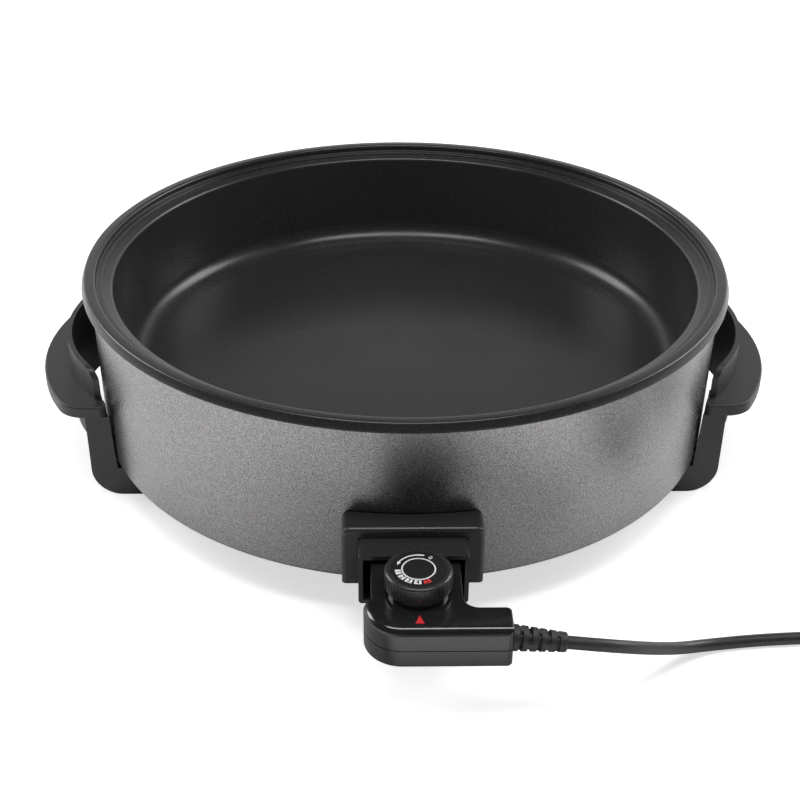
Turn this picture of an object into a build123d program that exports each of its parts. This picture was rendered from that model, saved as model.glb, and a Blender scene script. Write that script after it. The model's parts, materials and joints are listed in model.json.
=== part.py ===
from build123d import *
import os
from math import asin, cos, degrees, pi, radians, sqrt, tan

# Round electric skillet with two footed handles and a plug-in thermostat on its cord.
# Frame: origin on the table under the pan's axis, +Z up, +Y to the rear, socket at -Y.
# Lengths are in millimetres.

os.makedirs("parts", exist_ok=True)

# ------------------------------------------------------------------ driving sizes
FLOOR_TOP_Z = 61.0       # height of the cooking floor above the table
PAN_DEPTH = 68.0         # from the rim's top to the cooking floor
RIM_R = 200.0            # outer edge of the rim's top
RIM_FLARE = 2.0          # how far the rim's outer face leans out at its foot
RIM_FACE = 5.0           # height of the rim's outer face
LIP_W = 6.5              # flat top of the rim
LIP_DROP = 4.5           # from the rim's top down to the lid ledge
LEDGE_W = 4.0            # flat ledge that a lid would rest on
STEP_DROP = 1.5          # small step inside the ledge
SLOPE_W = 6.0            # sloping band between the step and the wall
SLOPE_DROP = 1.0
PAN_WALL = 3.5
PAN_TAPER = 5.5          # the wall comes in this much by the floor
PAN_CORNER_R = 14.0
FLOOR_T = 5.0

CASING_INSET = 3.5       # from the rim's top edge in to the casing
CASING_DRAFT = 1.0
CASING_T = 0.8
CASING_FLANGE_W = 9.0
CASING_BOTTOM_Z = 24.4
CASING_CORNER_R = 2.4
BASE_T = 1.0

ELEMENT_D = 8.0
ELEMENT_R = 115.0        # radius of the ring under the floor
ELEMENT_BEND_R = 16.0    # bend between the ring and each lead
ELEMENT_RIB_H = 5.0
ELEMENT_RIB_W = 2.0
WELL_WALL = 3.0          # metal around the probe's well
WELL_WEB = 5.0
WELL_BACK = 7.5          # from the tunnel's back to the well's mouth
WELL_END_GAP = 0.5       # air ahead of the probe's tip
PIN_D = 5.0
PIN_PITCH = 26.0
PROBE_D = 6.0
RUN_GAP = 0.1            # radial clearance of pins, shafts and screws
SEAT_GAP = 0.2           # clearance between curved or boxed faces that sit together

HEAD_SIDE = 8.0          # from a pin's axis out to the plug-in head's side
HEAD_RISE = 5.6          # from the pins' axis up to the head's top
HEAD_DROP = 13.4         # from the pins' axis down to the head's underside
HEAD_END_GAP = 5.5       # from the head's end to the sleeve's back
TUNNEL_SIDE_AIR = 5.6    # air beside the head
TUNNEL_TOP_AIR = 4.0
TUNNEL_BOTTOM_AIR = 3.2
TUNNEL_WALL = 2.4
TUNNEL_L = 40.9
TUNNEL_PROUD = 15.4      # how far the sleeve stands out of the surround
TUNNEL_CORNER_R = 2.0
FRAME_SIDE = 9.0         # width of the surround beside the sleeve
FRAME_BAND = 6.0         # height of the surround above the sleeve
FRAME_LIFT = 1.0         # from the sleeve's underside up to the surround's feet
FRAME_DEPTH = 13.5       # how far the surround stands out from the casing
FRAME_EDGE_R = 2.5
FRAME_CORNER_R = 5.0
FRAME_SCREW_L = 8.0
TERMINAL_PLATE_T = 2.5
BUSH_R = 5.2
BUSH_L = 8.0
BUSH_PROUD = 1.0
PIN_SET_BACK = 8.4       # from the sleeve's mouth in to the pins' tips
EARTH_T = 0.6
EARTH_H = 9.0
EARTH_L = 22.0
EARTH_RAMP = 8.0
EARTH_GAP = 0.4          # air between a bowed leaf and the plugged-in head

GRIP_TOP_Z = 64.5
GRIP_T = 7.2
GRIP_OUT = 36.5          # from the casing to the grip's outermost point
GRIP_R = 134.5           # plan radius of the grip's outer edge
GRIP_HALF_L = 79.0
GRIP_CORNER_R = 19.0
GRIP_HEEL_R = 3.5        # rounding of the grip's ends beside the casing
GRIP_EDGE_R = 1.2
GUARD_OUT = 17.5         # from the casing to the hand guard's inner face
GUARD_R = 102.0          # plan radius of that face
GUARD_T = 3.0
GUARD_RISE = 20.0        # how far the guard stands up from the grip
GUARD_DROP = 34.5        # from the grip's top down to the guard's lower edge
GUARD_END_IN = 10.0      # from the grip's end to the guard's end
GUARD_END_R = 8.0
HANDLE_GAP = 1.9         # air between the grip's top and the casing
FOOT_GAP = 0.9           # air between the foot of each leg and the casing
LEG_OUT = 0.1            # from the casing's outermost point to the legs' outer face
LEG_Y0, LEG_Y1 = 54.0, 78.0
LEG_DEPTH = 17.0         # how far a leg reaches in, before it is cut round the casing
LEG_TOE_R = 18.5
ARM_GAP = 4.9            # air between a foot's arm and the casing
ARM_L = 48.6             # length of a foot's arm from the leg's outer face
ARM_HEEL_R = 3.0
SCREW_IN = 38.6          # from the leg's outer face in to the handle's screw
HANDLE_BOSS_R = 7.0
PAN_BOSS_R = 5.5
M4_R = 2.0
M4_HEAD_R = 3.8
M4_HEAD_H = 2.6
M4_SLOT_W, M4_SLOT_D = 1.0, 1.0
M4_SEAT_Z = 11.0         # how far the screw heads sit up inside the feet
M4_ENGAGE = 16.0         # screw length inside a pan boss

BODY_RISE = 2.4          # from the head's top up to the body's top
BODY_DROP = 2.1          # from the head's underside down to the body's
BODY_LEFT_X, BODY_RIGHT_X = -26.2, 47.6
BODY_IN = 3.4            # how far the body's raised top reaches into the sleeve
BODY_L = 56.7
ARM_BACK = 38.6          # from the body's rear edge to the cord arm's rear face
BODY_CORNER_R = 19.5
BODY_SMALL_R = 3.0
BODY_STEP_R = 1.0
BODY_EDGE_R = 1.2
BODY_FRONT_EDGE_R = 4.0  # larger rounding of the top along the front and left faces
BODY_FOOT_R = 1.0
HEAD_EDGE_R = 2.0
REBATE_L, REBATE_H = 5.0, 1.0  # lower step across the neck's rear
NECK_LEFT_AIR, NECK_RIGHT_AIR = 4.0, 2.6
NECK_L = 32.0            # from the body's rear edge to where the neck widens on the left
NECK_STEP_L = 4.0
NECK_CURVE_R = 8.0
NECK_CHAMFER = 3.0
SHELL_WALL = 2.0
SEAM_RISE = 10.3         # from the body's underside up to the joint between its shells
GROOVE_H, GROOVE_D = 0.5, 0.5  # fine groove round the body at that joint
SHELL_SCREW_R = 1.3
SHELL_SCREW_HEAD_R = 2.4
SHELL_SCREW_HEAD_H = 1.8
SHELL_SCREW_SEAT = 2.5   # how far the heads' seats lie above the base
SHELL_SCREW_BITE = 6.0   # screw length above the joint
SHELL_POST_R = 3.2
SHELL_POST_INSET = 4.6   # from the nearest outer face to a post's axis
SIDE_POST_BACK = 7.0     # from the neck's step to the left post
CORD_POST_BACK = 18.0    # from the body's cord end to the front post
HEAD_POST_BACK = 10.0    # from the body's rear edge to the neck's post
CARRIER_L = 11.0
SLEEVE_WALL = 0.9
SLEEVE_L = 24.0
SLEEVE_SET = 0.5         # from the carrier's face in to the sleeves' mouths
PROBE_REACH = 69.0       # from the head's end to the probe's tip
PROBE_ROOT = 3.0         # length of the probe behind its bracket
BRACKET_GAP = 1.5        # air between the bracket's tab and the shell's step
BRACKET_T = 1.2
BRACKET_W = 18.0
BLADE_T, BLADE_W = 0.5, 6.0
BLADE_GAP = 2.0          # air between the two blades
BLADE_REACH = 5.0        # how far the blades run past the dial's axis
STACK_BACK = 3.0         # air between the bracket's tab and the contact stack
STACK_L, STACK_W = 7.0, 8.0
RIVET_R = 1.4
RIVET_H = 0.9

DIAL_X = 1.5
DIAL_BACK = 25.0         # from the body's rear edge to the dial's axis
KNOB_LIFT = 3.4          # from the body's top up to the knob's underside
KNOB_H = 9.6
KNOB_R0, KNOB_R1 = 17.35, 15.5
KNOB_EDGE_R = 0.8
KNOB_ROOF = 1.5          # plastic between the spindle and the printed face
DISC_R = 14.2
DISC_T = 0.8
COLLAR_R = 16.0
COLLAR_EDGE_R = 0.8
COLLAR_GAP = 0.4
SPINDLE_R = 3.0
SPINDLE_DROP = 10.0      # from the body's top down to the spindle's lower end
KEEPER_R = 4.6
KEEPER_T = 1.2
PLUNGER_R = 1.5
PLUNGER_TIP = 2.4        # length of the plunger below the spindle at rest
PLUNGER_SEAT = 4.0       # length of the plunger inside the spindle
BLADE_CLEAR = 0.5        # air between the plunger's tip and the blade at the set position

MARKER_X = 1.6
MARKER_BACK = 20.2       # from the dial's axis to the marker's tip
MARKER_W, MARKER_L = 4.4, 6.2
LENS_PROUD = 0.25
LENS_DEPTH = 3.0
LAMP_R, LAMP_L = 2.5, 12.0

RELIEF_IN = 9.2          # from the body's front face to the strain relief's axis
RELIEF_RISE = 11.0       # from the body's underside up to that axis
RELIEF_L = 27.5
RELIEF_R0, RELIEF_R1 = 6.9, 5.0
RELIEF_FALL = 0.125      # drop per length of the strain relief
RELIEF_NECK_R = 5.0
RELIEF_FLANGE_R = 6.6
RELIEF_FLANGE_T = 2.4
CLAMP_BACK = 7.5         # from the body's cord end to the clamp
CLAMP_L, CLAMP_W = 5.5, 13.2
CLAMP_DROP = 2.0         # from the cord's axis down to the clamp's top
RELIEF_END_R = 1.0
NOTCHES = 5              # rings of notches, each ring a quarter turn from the last
NOTCH_START = 3.7        # from the shell to the first ring
NOTCH_PITCH = 4.7
NOTCH_W = 2.0
NOTCH_SPINE = 1.6        # half width of the two uncut spines of each ring
CORD_D = 6.8

COIL_X, COIL_Y = 279.0, -180.5
COIL_R0, COIL_R1 = 30.8, 44.4
COIL_EDGE_R = 3.2
TIE_W = 9.0
TIE_T = 1.2
PLUG_R = 19.0
PLUG_L = 36.0
PLUG_GROOVE = 2.2        # depth of the two earth grooves
PLUG_CLIP_T = 0.8
PLUG_TAIL_R, PLUG_TAIL_END_R = 7.5, 5.2
PLUG_TAIL_L = 22.0
PLUG_PIN_R = 2.4
PLUG_PIN_ROOT_R = 2.0
PLUG_PIN_TIP_R = 1.4
PLUG_PIN_L = 19.0
PLUG_PIN_PITCH = 19.0
PLUG_PIN_SET = 12.0      # length of each pin inside the plug
PLUG_BACK_R = 7.0
PLUG_EDGE_R = 1.0
PLUG_GROOVE_W, PLUG_GROOVE_L = 6.0, 16.0
PLUG_CLIP_W = 4.8
PLUG_Y = -66.0           # face of the plug that its pins stand on
FAR = 1000.0             # reach of half-space cuts, beyond the whole object

# ------------------------------------------------------------------ derived places
RIM_TOP_Z = FLOOR_TOP_Z + PAN_DEPTH
FLOOR_UNDER_Z = FLOOR_TOP_Z - FLOOR_T
RIM_FOOT_Z = RIM_TOP_Z - RIM_FACE
LEDGE_Z = RIM_TOP_Z - LIP_DROP
LEDGE_R = RIM_R - LIP_W
STEP_R = LEDGE_R - LEDGE_W
WALL_TOP_R = STEP_R - SLOPE_W
WALL_FOOT_R = WALL_TOP_R - PAN_TAPER
CASING_R = RIM_R - CASING_INSET
CASING_IN_R = CASING_R - CASING_T
BASE_UNDER_Z = CASING_BOTTOM_Z + CASING_T
BASE_TOP_Z = BASE_UNDER_Z + BASE_T
BASE_R = CASING_R - CASING_DRAFT - CASING_T - CASING_CORNER_R

PIN_Z = FLOOR_UNDER_Z - ELEMENT_D / 2
PIN_X = PIN_PITCH / 2
HEAD_HALF_W = PIN_X + HEAD_SIDE
HEAD_TOP_Z = PIN_Z + HEAD_RISE
HEAD_BOTTOM_Z = PIN_Z - HEAD_DROP
TUNNEL_IN = HEAD_HALF_W + TUNNEL_SIDE_AIR
TUNNEL_W = 2 * (TUNNEL_IN + TUNNEL_WALL)
TUNNEL_TOP_Z = HEAD_TOP_Z + TUNNEL_TOP_AIR + TUNNEL_WALL
TUNNEL_BOTTOM_Z = HEAD_BOTTOM_Z - TUNNEL_BOTTOM_AIR - TUNNEL_WALL
FRAME_W = TUNNEL_W + 2 * FRAME_SIDE
FRAME_TOP_Z = TUNNEL_TOP_Z + FRAME_BAND
FRAME_BOTTOM_Z = TUNNEL_BOTTOM_Z + FRAME_LIFT
FRAME_FRONT_Y = -CASING_R - FRAME_DEPTH
TUNNEL_FRONT_Y = FRAME_FRONT_Y - TUNNEL_PROUD
TUNNEL_BACK_Y = TUNNEL_FRONT_Y + TUNNEL_L
PIN_TIP_Y = TUNNEL_FRONT_Y + PIN_SET_BACK
HEAD_REAR_Y = TUNNEL_BACK_Y - HEAD_END_GAP
CARRIER_Y = HEAD_REAR_Y - CARRIER_L
PROBE_TIP_Y = HEAD_REAR_Y + PROBE_REACH

CLEAR_R = CASING_R + HANDLE_GAP
GRIP_REACH = CASING_R + GRIP_OUT
GUARD_REACH = CASING_R + GUARD_OUT
GUARD_TOP_Z = GRIP_TOP_Z + GUARD_RISE
GUARD_BOTTOM_Z = GRIP_TOP_Z - GUARD_DROP
GUARD_HALF_L = GRIP_HALF_L - GUARD_END_IN
LEG_X = CASING_R + LEG_OUT
ARM_TOP_Z = CASING_BOTTOM_Z - ARM_GAP
ARM_END_X = LEG_X - ARM_L
SCREW_X = LEG_X - SCREW_IN
SCREW_Y = (LEG_Y0 + LEG_Y1) / 2

BODY_TOP_Z = HEAD_TOP_Z + BODY_RISE
BODY_BOTTOM_Z = HEAD_BOTTOM_Z - BODY_DROP
SEAM_Z = BODY_BOTTOM_Z + SEAM_RISE
BODY_REAR_Y = TUNNEL_FRONT_Y + BODY_IN
BODY_FRONT_Y = BODY_REAR_Y - BODY_L
ARM_REAR_Y = BODY_REAR_Y - ARM_BACK
NECK_STEP_Y = BODY_REAR_Y - NECK_L
NECK_LEFT_X = NECK_LEFT_AIR - TUNNEL_IN
NECK_RIGHT_X = TUNNEL_IN - NECK_RIGHT_AIR
DIAL_Y = BODY_REAR_Y - DIAL_BACK
KNOB_BOTTOM_Z = BODY_TOP_Z + KNOB_LIFT
KNOB_TOP_Z = KNOB_BOTTOM_Z + KNOB_H
SPINDLE_BOTTOM_Z = BODY_TOP_Z - SPINDLE_DROP
MARKER_TIP_Y = DIAL_Y - MARKER_BACK
RELIEF_Y = BODY_FRONT_Y + RELIEF_IN
RELIEF_Z = BODY_BOTTOM_Z + RELIEF_RISE
COIL_H = 2 * CORD_D
PLUG_X = COIL_X + COIL_R1 - CORD_D / 2


# ------------------------------------------------------------------ helpers
def block(x0, x1, y0, y1, z0, z1):
    """Box between two corners."""
    return Pos((x0 + x1) / 2, (y0 + y1) / 2, (z0 + z1) / 2) * Box(x1 - x0, y1 - y0, z1 - z0)


def post(radius, z0, z1, x=0.0, y=0.0):
    """Upright cylinder."""
    return Pos(x, y, (z0 + z1) / 2) * Cylinder(radius, z1 - z0)


def rod_y(radius, y0, y1, x, z):
    """Cylinder along Y."""
    return Pos(x, (y0 + y1) / 2, z) * Rot(90, 0, 0) * Cylinder(radius, abs(y1 - y0))


def rod_x(radius, x0, x1, y, z):
    """Cylinder along X."""
    return Pos((x0 + x1) / 2, y, z) * Rot(0, 90, 0) * Cylinder(radius, abs(x1 - x0))


def turned(corners):
    """Solid of revolution about Z from corners (r, z, fillet radius)."""
    points = [(r, 0, z) for r, z, _ in corners]
    path = FilletPolyline(*points, radius=[c[2] for c in corners], close=True)
    return revolve(make_face(path), Axis.Z, 360)


def plan_slab(corners, z0, z1):
    """Upright prism from plan corners (x, y, fillet radius)."""
    points = [(x, y, z0) for x, y, _ in corners]
    path = FilletPolyline(*points, radius=[c[2] for c in corners], close=True)
    return extrude(make_face(path), amount=z1 - z0, dir=(0, 0, 1))


def top_edges(solid, z):
    """Edges that lie wholly at height z."""
    return solid.edges().filter_by_position(Axis.Z, z - 1e-3, z + 1e-3)


def ring_at_y(solid, y):
    """Edges that lie wholly at one y."""
    return solid.edges().filter_by_position(Axis.Y, y - 1e-3, y + 1e-3)


def group(solids):
    """Several separate solids as one node."""
    return Compound(children=list(solids))


nodes = {}


def keep(name, shape):
    """Note a finished node."""
    nodes[name] = shape


# ------------------------------------------------------------------ pan and casing
def pan_bowl():
    """Cast bowl with its stepped rim, element ribs, screw bosses and probe well."""
    flange_under = LEDGE_Z - PAN_WALL - STEP_DROP
    lip_in = CASING_IN_R - 1.0
    foot_out = WALL_FOOT_R + PAN_WALL
    bowl = turned([
        (0, FLOOR_TOP_Z, 0),
        (WALL_FOOT_R, FLOOR_TOP_Z, PAN_CORNER_R),
        (WALL_TOP_R, LEDGE_Z - STEP_DROP - SLOPE_DROP, 2.5),
        (STEP_R, LEDGE_Z - STEP_DROP, 0.5),
        (STEP_R, LEDGE_Z, 0.5),
        (LEDGE_R, LEDGE_Z, 1.0),
        (LEDGE_R, RIM_TOP_Z, 1.6),
        (RIM_R, RIM_TOP_Z, 1.2),
        (RIM_R + RIM_FLARE, RIM_FOOT_Z, 0.6),
        (lip_in, RIM_FOOT_Z, 0),
        (lip_in, flange_under, 0),
        (WALL_TOP_R + PAN_WALL, flange_under, 1.5),
        (foot_out, FLOOR_UNDER_Z, PAN_CORNER_R + PAN_WALL),
        (0, FLOOR_UNDER_Z, 0),
    ])
    rib_z0 = FLOOR_UNDER_Z - ELEMENT_RIB_H
    for r_in in (ELEMENT_R - ELEMENT_D / 2 - ELEMENT_RIB_W - SEAT_GAP,
                 ELEMENT_R + ELEMENT_D / 2 + SEAT_GAP):
        rib = post(r_in + ELEMENT_RIB_W, rib_z0, FLOOR_UNDER_Z + 1)
        bowl += rib - post(r_in, rib_z0 - 1, FLOOR_UNDER_Z + 2)
    window = PIN_X + ELEMENT_BEND_R + ELEMENT_D
    bowl -= block(-window, window, -ELEMENT_R - 20, -ELEMENT_R + 20, rib_z0 - 1, FLOOR_UNDER_Z)
    well_y0, well_y1 = TUNNEL_BACK_Y + WELL_BACK, PROBE_TIP_Y + WELL_WALL
    well = rod_y(PROBE_D / 2 + WELL_WALL, well_y0, well_y1, 0, PIN_Z)
    web = block(-WELL_WEB / 2, WELL_WEB / 2, well_y0, well_y1, PIN_Z, FLOOR_UNDER_Z + FLOOR_T / 2)
    bowl += well + web
    bowl -= rod_y(PROBE_D / 2 + RUN_GAP, well_y0 - 1, PROBE_TIP_Y + WELL_END_GAP, 0, PIN_Z)
    for x, y in handle_screw_places():
        bowl += post(PAN_BOSS_R, BASE_TOP_Z, FLOOR_UNDER_Z + FLOOR_T / 2, x, y)
        bowl -= post(M4_R + RUN_GAP, BASE_TOP_Z - 1, BASE_TOP_Z + M4_ENGAGE + 2, x, y)
    return bowl


def handle_screw_places():
    return [(sx * SCREW_X, sy * SCREW_Y) for sx in (-1, 1) for sy in (-1, 1)]


def outer_casing():
    """Thin steel drum that hangs from the rim, with a turned-in foot and a socket opening."""
    foot_r = CASING_R - CASING_DRAFT
    inner_corner = CASING_CORNER_R - CASING_T
    drum = turned([
        (CASING_R, RIM_FOOT_Z, 0),
        (foot_r, CASING_BOTTOM_Z, CASING_CORNER_R),
        (foot_r - CASING_FLANGE_W, CASING_BOTTOM_Z, 0),
        (foot_r - CASING_FLANGE_W, BASE_UNDER_Z, 0),
        (foot_r - CASING_T, BASE_UNDER_Z, inner_corner),
        (CASING_IN_R, RIM_FOOT_Z, 0),
    ])
    half = TUNNEL_W / 2 + SEAT_GAP
    opening = block(-half, half, -CASING_R - 5, -CASING_R + 15, TUNNEL_BOTTOM_Z - SEAT_GAP,
                    TUNNEL_TOP_Z + SEAT_GAP)
    drum -= opening
    for x in frame_screw_x():
        drum -= rod_y(SHELL_SCREW_R + RUN_GAP, -CASING_R - 5, -CASING_R + 15, x, frame_screw_z())
    return drum


def frame_screw_x():
    offset = (FRAME_W + TUNNEL_W) / 4
    return (-offset, offset)


def frame_screw_z():
    return (FRAME_TOP_Z + FRAME_BOTTOM_Z) / 2


def base_plate():
    """Steel disc that closes the casing from inside its foot."""
    plate = post(BASE_R, BASE_UNDER_Z, BASE_TOP_Z)
    for x, y in handle_screw_places():
        plate -= post(M4_R + RUN_GAP, BASE_UNDER_Z - 1, BASE_TOP_Z + 1, x, y)
    return plate


def heating_element():
    """Tubular element: an open ring under the floor and two leads to the front."""
    bend_r = ELEMENT_BEND_R
    gap = asin((PIN_X + bend_r) / (ELEMENT_R + bend_r))
    start = radians(-90) + gap
    arc_deg = 360 - 2 * degrees(gap)
    ring = CenterArc((0, 0, PIN_Z), ELEMENT_R, degrees(start), arc_deg)
    turn_y = -(ELEMENT_R + bend_r) * cos(gap)
    turn_x = PIN_X + bend_r
    right_bend = CenterArc((turn_x, turn_y, PIN_Z), bend_r, 90 + degrees(gap), 90 - degrees(gap))
    left_bend = CenterArc((-turn_x, turn_y, PIN_Z), bend_r, 0, 90 - degrees(gap))
    lead_end = TUNNEL_BACK_Y + BUSH_L / 2
    right_lead = Line((PIN_X, turn_y, PIN_Z), (PIN_X, lead_end, PIN_Z))
    left_lead = Line((-PIN_X, turn_y, PIN_Z), (-PIN_X, lead_end, PIN_Z))
    path = Wire([*right_lead.edges(), *right_bend.edges(), *ring.edges(), *left_bend.edges(),
                 *left_lead.edges()])
    section = Plane(origin=(PIN_X, lead_end, PIN_Z), z_dir=(0, 1, 0)) * Circle(ELEMENT_D / 2)
    return sweep(section, path=path)


# ------------------------------------------------------------------ inlet
def socket_frame():
    """Inverted-U surround screwed to the casing around the inlet."""
    half = FRAME_W / 2
    body = block(-half, half, FRAME_FRONT_Y, -CASING_R + 12, FRAME_BOTTOM_Z, FRAME_TOP_Z)
    upright = body.edges().filter_by(Axis.Y).group_by(Axis.Z)[-1]
    body = fillet(upright, FRAME_CORNER_R)
    front = body.faces().sort_by(Axis.Y)[0].outer_wire().edges()
    front = [e for e in front if e.center().Z > FRAME_BOTTOM_Z + 1e-3]
    body = fillet(front, FRAME_EDGE_R)
    body -= post(CASING_R + SEAT_GAP, 0, RIM_TOP_Z)
    slot = TUNNEL_W / 2 + SEAT_GAP
    body -= block(-slot, slot, FRAME_FRONT_Y - 5, 0, FRAME_BOTTOM_Z - 5, TUNNEL_TOP_Z + SEAT_GAP)
    for x in frame_screw_x():
        body -= rod_y(SHELL_SCREW_R + RUN_GAP, -CASING_R - FRAME_SCREW_L, 0, x, frame_screw_z())
    return body


def socket_screws():
    """Two screws from inside the casing into the surround."""
    solids = []
    for x in frame_screw_x():
        seat_y = -sqrt((CASING_IN_R - CASING_DRAFT) ** 2 - x * x)
        seat_y += SHELL_SCREW_HEAD_R * abs(x) / CASING_R
        shank = rod_y(SHELL_SCREW_R, seat_y - FRAME_SCREW_L, seat_y, x, frame_screw_z())
        head = rod_y(SHELL_SCREW_HEAD_R, seat_y, seat_y + SHELL_SCREW_HEAD_H, x, frame_screw_z())
        solids.append(shank + head)
    return group(solids)


def inlet_tunnel():
    """Square sleeve that the thermostat's head slides into."""
    half = TUNNEL_W / 2
    body = block(-half, half, TUNNEL_FRONT_Y, TUNNEL_BACK_Y, TUNNEL_BOTTOM_Z, TUNNEL_TOP_Z)
    body = fillet(body.edges().filter_by(Axis.Y), TUNNEL_CORNER_R)
    body -= block(-half + TUNNEL_WALL, half - TUNNEL_WALL, TUNNEL_FRONT_Y - 5, TUNNEL_BACK_Y + 5,
                  TUNNEL_BOTTOM_Z + TUNNEL_WALL, TUNNEL_TOP_Z - TUNNEL_WALL)
    return body


def terminal_plate():
    """Insulating plate across the back of the tunnel."""
    half = TUNNEL_IN
    plate = block(-half, half, TUNNEL_BACK_Y - TERMINAL_PLATE_T, TUNNEL_BACK_Y,
                  TUNNEL_BOTTOM_Z + TUNNEL_WALL, TUNNEL_TOP_Z - TUNNEL_WALL)
    for x in (-PIN_X, PIN_X):
        plate -= rod_y(BUSH_R + RUN_GAP, TUNNEL_BACK_Y - 10, TUNNEL_BACK_Y + 10, x, PIN_Z)
    plate -= rod_y(PROBE_D / 2 + 2 * RUN_GAP, TUNNEL_BACK_Y - 10, TUNNEL_BACK_Y + 10, 0, PIN_Z)
    return plate


def bush_front_y():
    return TUNNEL_BACK_Y - TERMINAL_PLATE_T - BUSH_PROUD


def terminal_bushes():
    """Ceramic bushes that hold the pins in the plate."""
    solids = []
    for x in (-PIN_X, PIN_X):
        bush = rod_y(BUSH_R, bush_front_y(), TUNNEL_BACK_Y + BUSH_L / 2, x, PIN_Z)
        bush -= rod_y(PIN_D / 2 + RUN_GAP, bush_front_y() - 1, TUNNEL_BACK_Y + BUSH_L, x, PIN_Z)
        solids.append(bush)
    return group(solids)


def terminal_pins():
    """Plated pins that carry on from the element's leads."""
    solids = []
    for x in (-PIN_X, PIN_X):
        pin = rod_y(PIN_D / 2, PIN_TIP_Y, TUNNEL_BACK_Y + BUSH_L / 2, x, PIN_Z)
        solids.append(fillet(ring_at_y(pin, PIN_TIP_Y), PIN_D / 5))
    return group(solids)


def earth_springs():
    """Bowed earth leaves on the tunnel's side walls."""
    wall_x = TUNNEL_IN
    bow_x = HEAD_HALF_W + EARTH_GAP
    y0, y1 = HEAD_REAR_Y - EARTH_L, HEAD_REAR_Y
    ramp = EARTH_RAMP
    foot = 2 * EARTH_T
    solids = []
    for side in (-1, 1):
        outer = [(wall_x, y0), (bow_x + EARTH_T, y0 + ramp), (bow_x + EARTH_T, y1 - ramp), (wall_x, y1)]
        inner = [(wall_x, y1 + foot), (bow_x, y1 - ramp + EARTH_T), (bow_x, y0 + ramp - EARTH_T),
                 (wall_x, y0 - foot)]
        points = [(side * x, y, PIN_Z - EARTH_H / 2 - 1) for x, y in outer + inner]
        leaf = extrude(make_face(Polyline(*points, close=True)), amount=EARTH_H, dir=(0, 0, 1))
        solids.append(leaf)
    return group(solids)


# ------------------------------------------------------------------ handles
def handle_right():
    """Moulded handle: crescent grip, upright hand guard and two legs with feet."""
    grip_cx = GRIP_REACH - GRIP_R
    guard_cx = GUARD_REACH - GUARD_R
    disc = post(GRIP_R, GRIP_TOP_Z - GRIP_T, GRIP_TOP_Z, grip_cx)
    strip = block(0, GRIP_REACH + 5, -GRIP_HALF_L, GRIP_HALF_L, GRIP_TOP_Z - GRIP_T, GRIP_TOP_Z)
    grip = disc & strip
    corner_x = grip_cx + sqrt(GRIP_R ** 2 - GRIP_HALF_L ** 2)
    corners = [e for e in grip.edges().filter_by(Axis.Z) if abs(e.center().X - corner_x) < 0.1]
    grip = fillet(corners, GRIP_CORNER_R)
    rim = [e for e in top_edges(grip, GRIP_TOP_Z) if e.center().X > 1]
    grip = fillet(rim, GRIP_EDGE_R)
    hole = post(GUARD_R, 0, RIM_TOP_Z, guard_cx) + block(0, guard_cx, -FAR, FAR, 0, RIM_TOP_Z)
    grip -= hole

    guard = post(GUARD_R + GUARD_T, GUARD_BOTTOM_Z, GUARD_TOP_Z, guard_cx)
    guard &= block(guard_cx, GRIP_REACH, -GUARD_HALF_L, GUARD_HALF_L, GUARD_BOTTOM_Z, GUARD_TOP_Z)
    guard -= post(GUARD_R, 0, RIM_TOP_Z, guard_cx)
    guard &= guard_side_view()

    handle = grip + guard
    for side in (-1, 1):
        handle += leg(side)
    handle -= casing_clearance()
    for side in (-1, 1):
        handle -= heel_waste(side)
        y = side * SCREW_Y
        handle += post(HANDLE_BOSS_R, ARM_TOP_Z - 1, BASE_UNDER_Z, SCREW_X, y)
        handle -= post(M4_R + RUN_GAP, -1, BASE_UNDER_Z + 1, SCREW_X, y)
        handle -= post(M4_HEAD_R + 3 * RUN_GAP, -1, M4_SEAT_Z, SCREW_X, y)
    return handle


def casing_clearance():
    """Space kept free round the casing, closer to it at the foot of the legs."""
    foot_r = CASING_R - CASING_DRAFT + FOOT_GAP
    z0 = ARM_TOP_Z + 0.01
    return turned([(0, z0, 0), (foot_r, z0, 0), (CLEAR_R, GRIP_TOP_Z, 0), (CLEAR_R, RIM_TOP_Z, 0),
                   (0, RIM_TOP_Z, 0)])


def heel_waste(side):
    """What the rounding beside the casing takes off one end of the grip."""
    end_y = side * GRIP_HALF_L
    y = side * (GRIP_HALF_L - GRIP_HEEL_R)
    x = sqrt((CLEAR_R + GRIP_HEEL_R) ** 2 - y * y)
    inner = (CLEAR_R - 1) / (CLEAR_R + GRIP_HEEL_R)
    z0, z1 = GRIP_TOP_Z - GRIP_T, GRIP_TOP_Z + 1
    corners = [(x, y, 0), (x, end_y + side, 0), (x * inner - GRIP_HEEL_R, end_y + side, 0),
               (x * inner, y * inner, 0)]
    return plan_slab(corners, z0, z1) - post(GRIP_HEEL_R, z0 - 1, z1 + 1, x, y)


def guard_side_view():
    """Side outline of the guard, with its top corners rounded off towards the ends."""
    half, x0, x1 = GUARD_HALF_L, ARM_END_X, GRIP_REACH
    points = [(x0, -half, GUARD_BOTTOM_Z), (x0, half, GUARD_BOTTOM_Z), (x0, half, GUARD_TOP_Z),
              (x0, -half, GUARD_TOP_Z)]
    face = make_face(FilletPolyline(*points, radius=[0, 0, GUARD_END_R, GUARD_END_R], close=True))
    return extrude(face, amount=x1 - x0, dir=(1, 0, 0))


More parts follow.
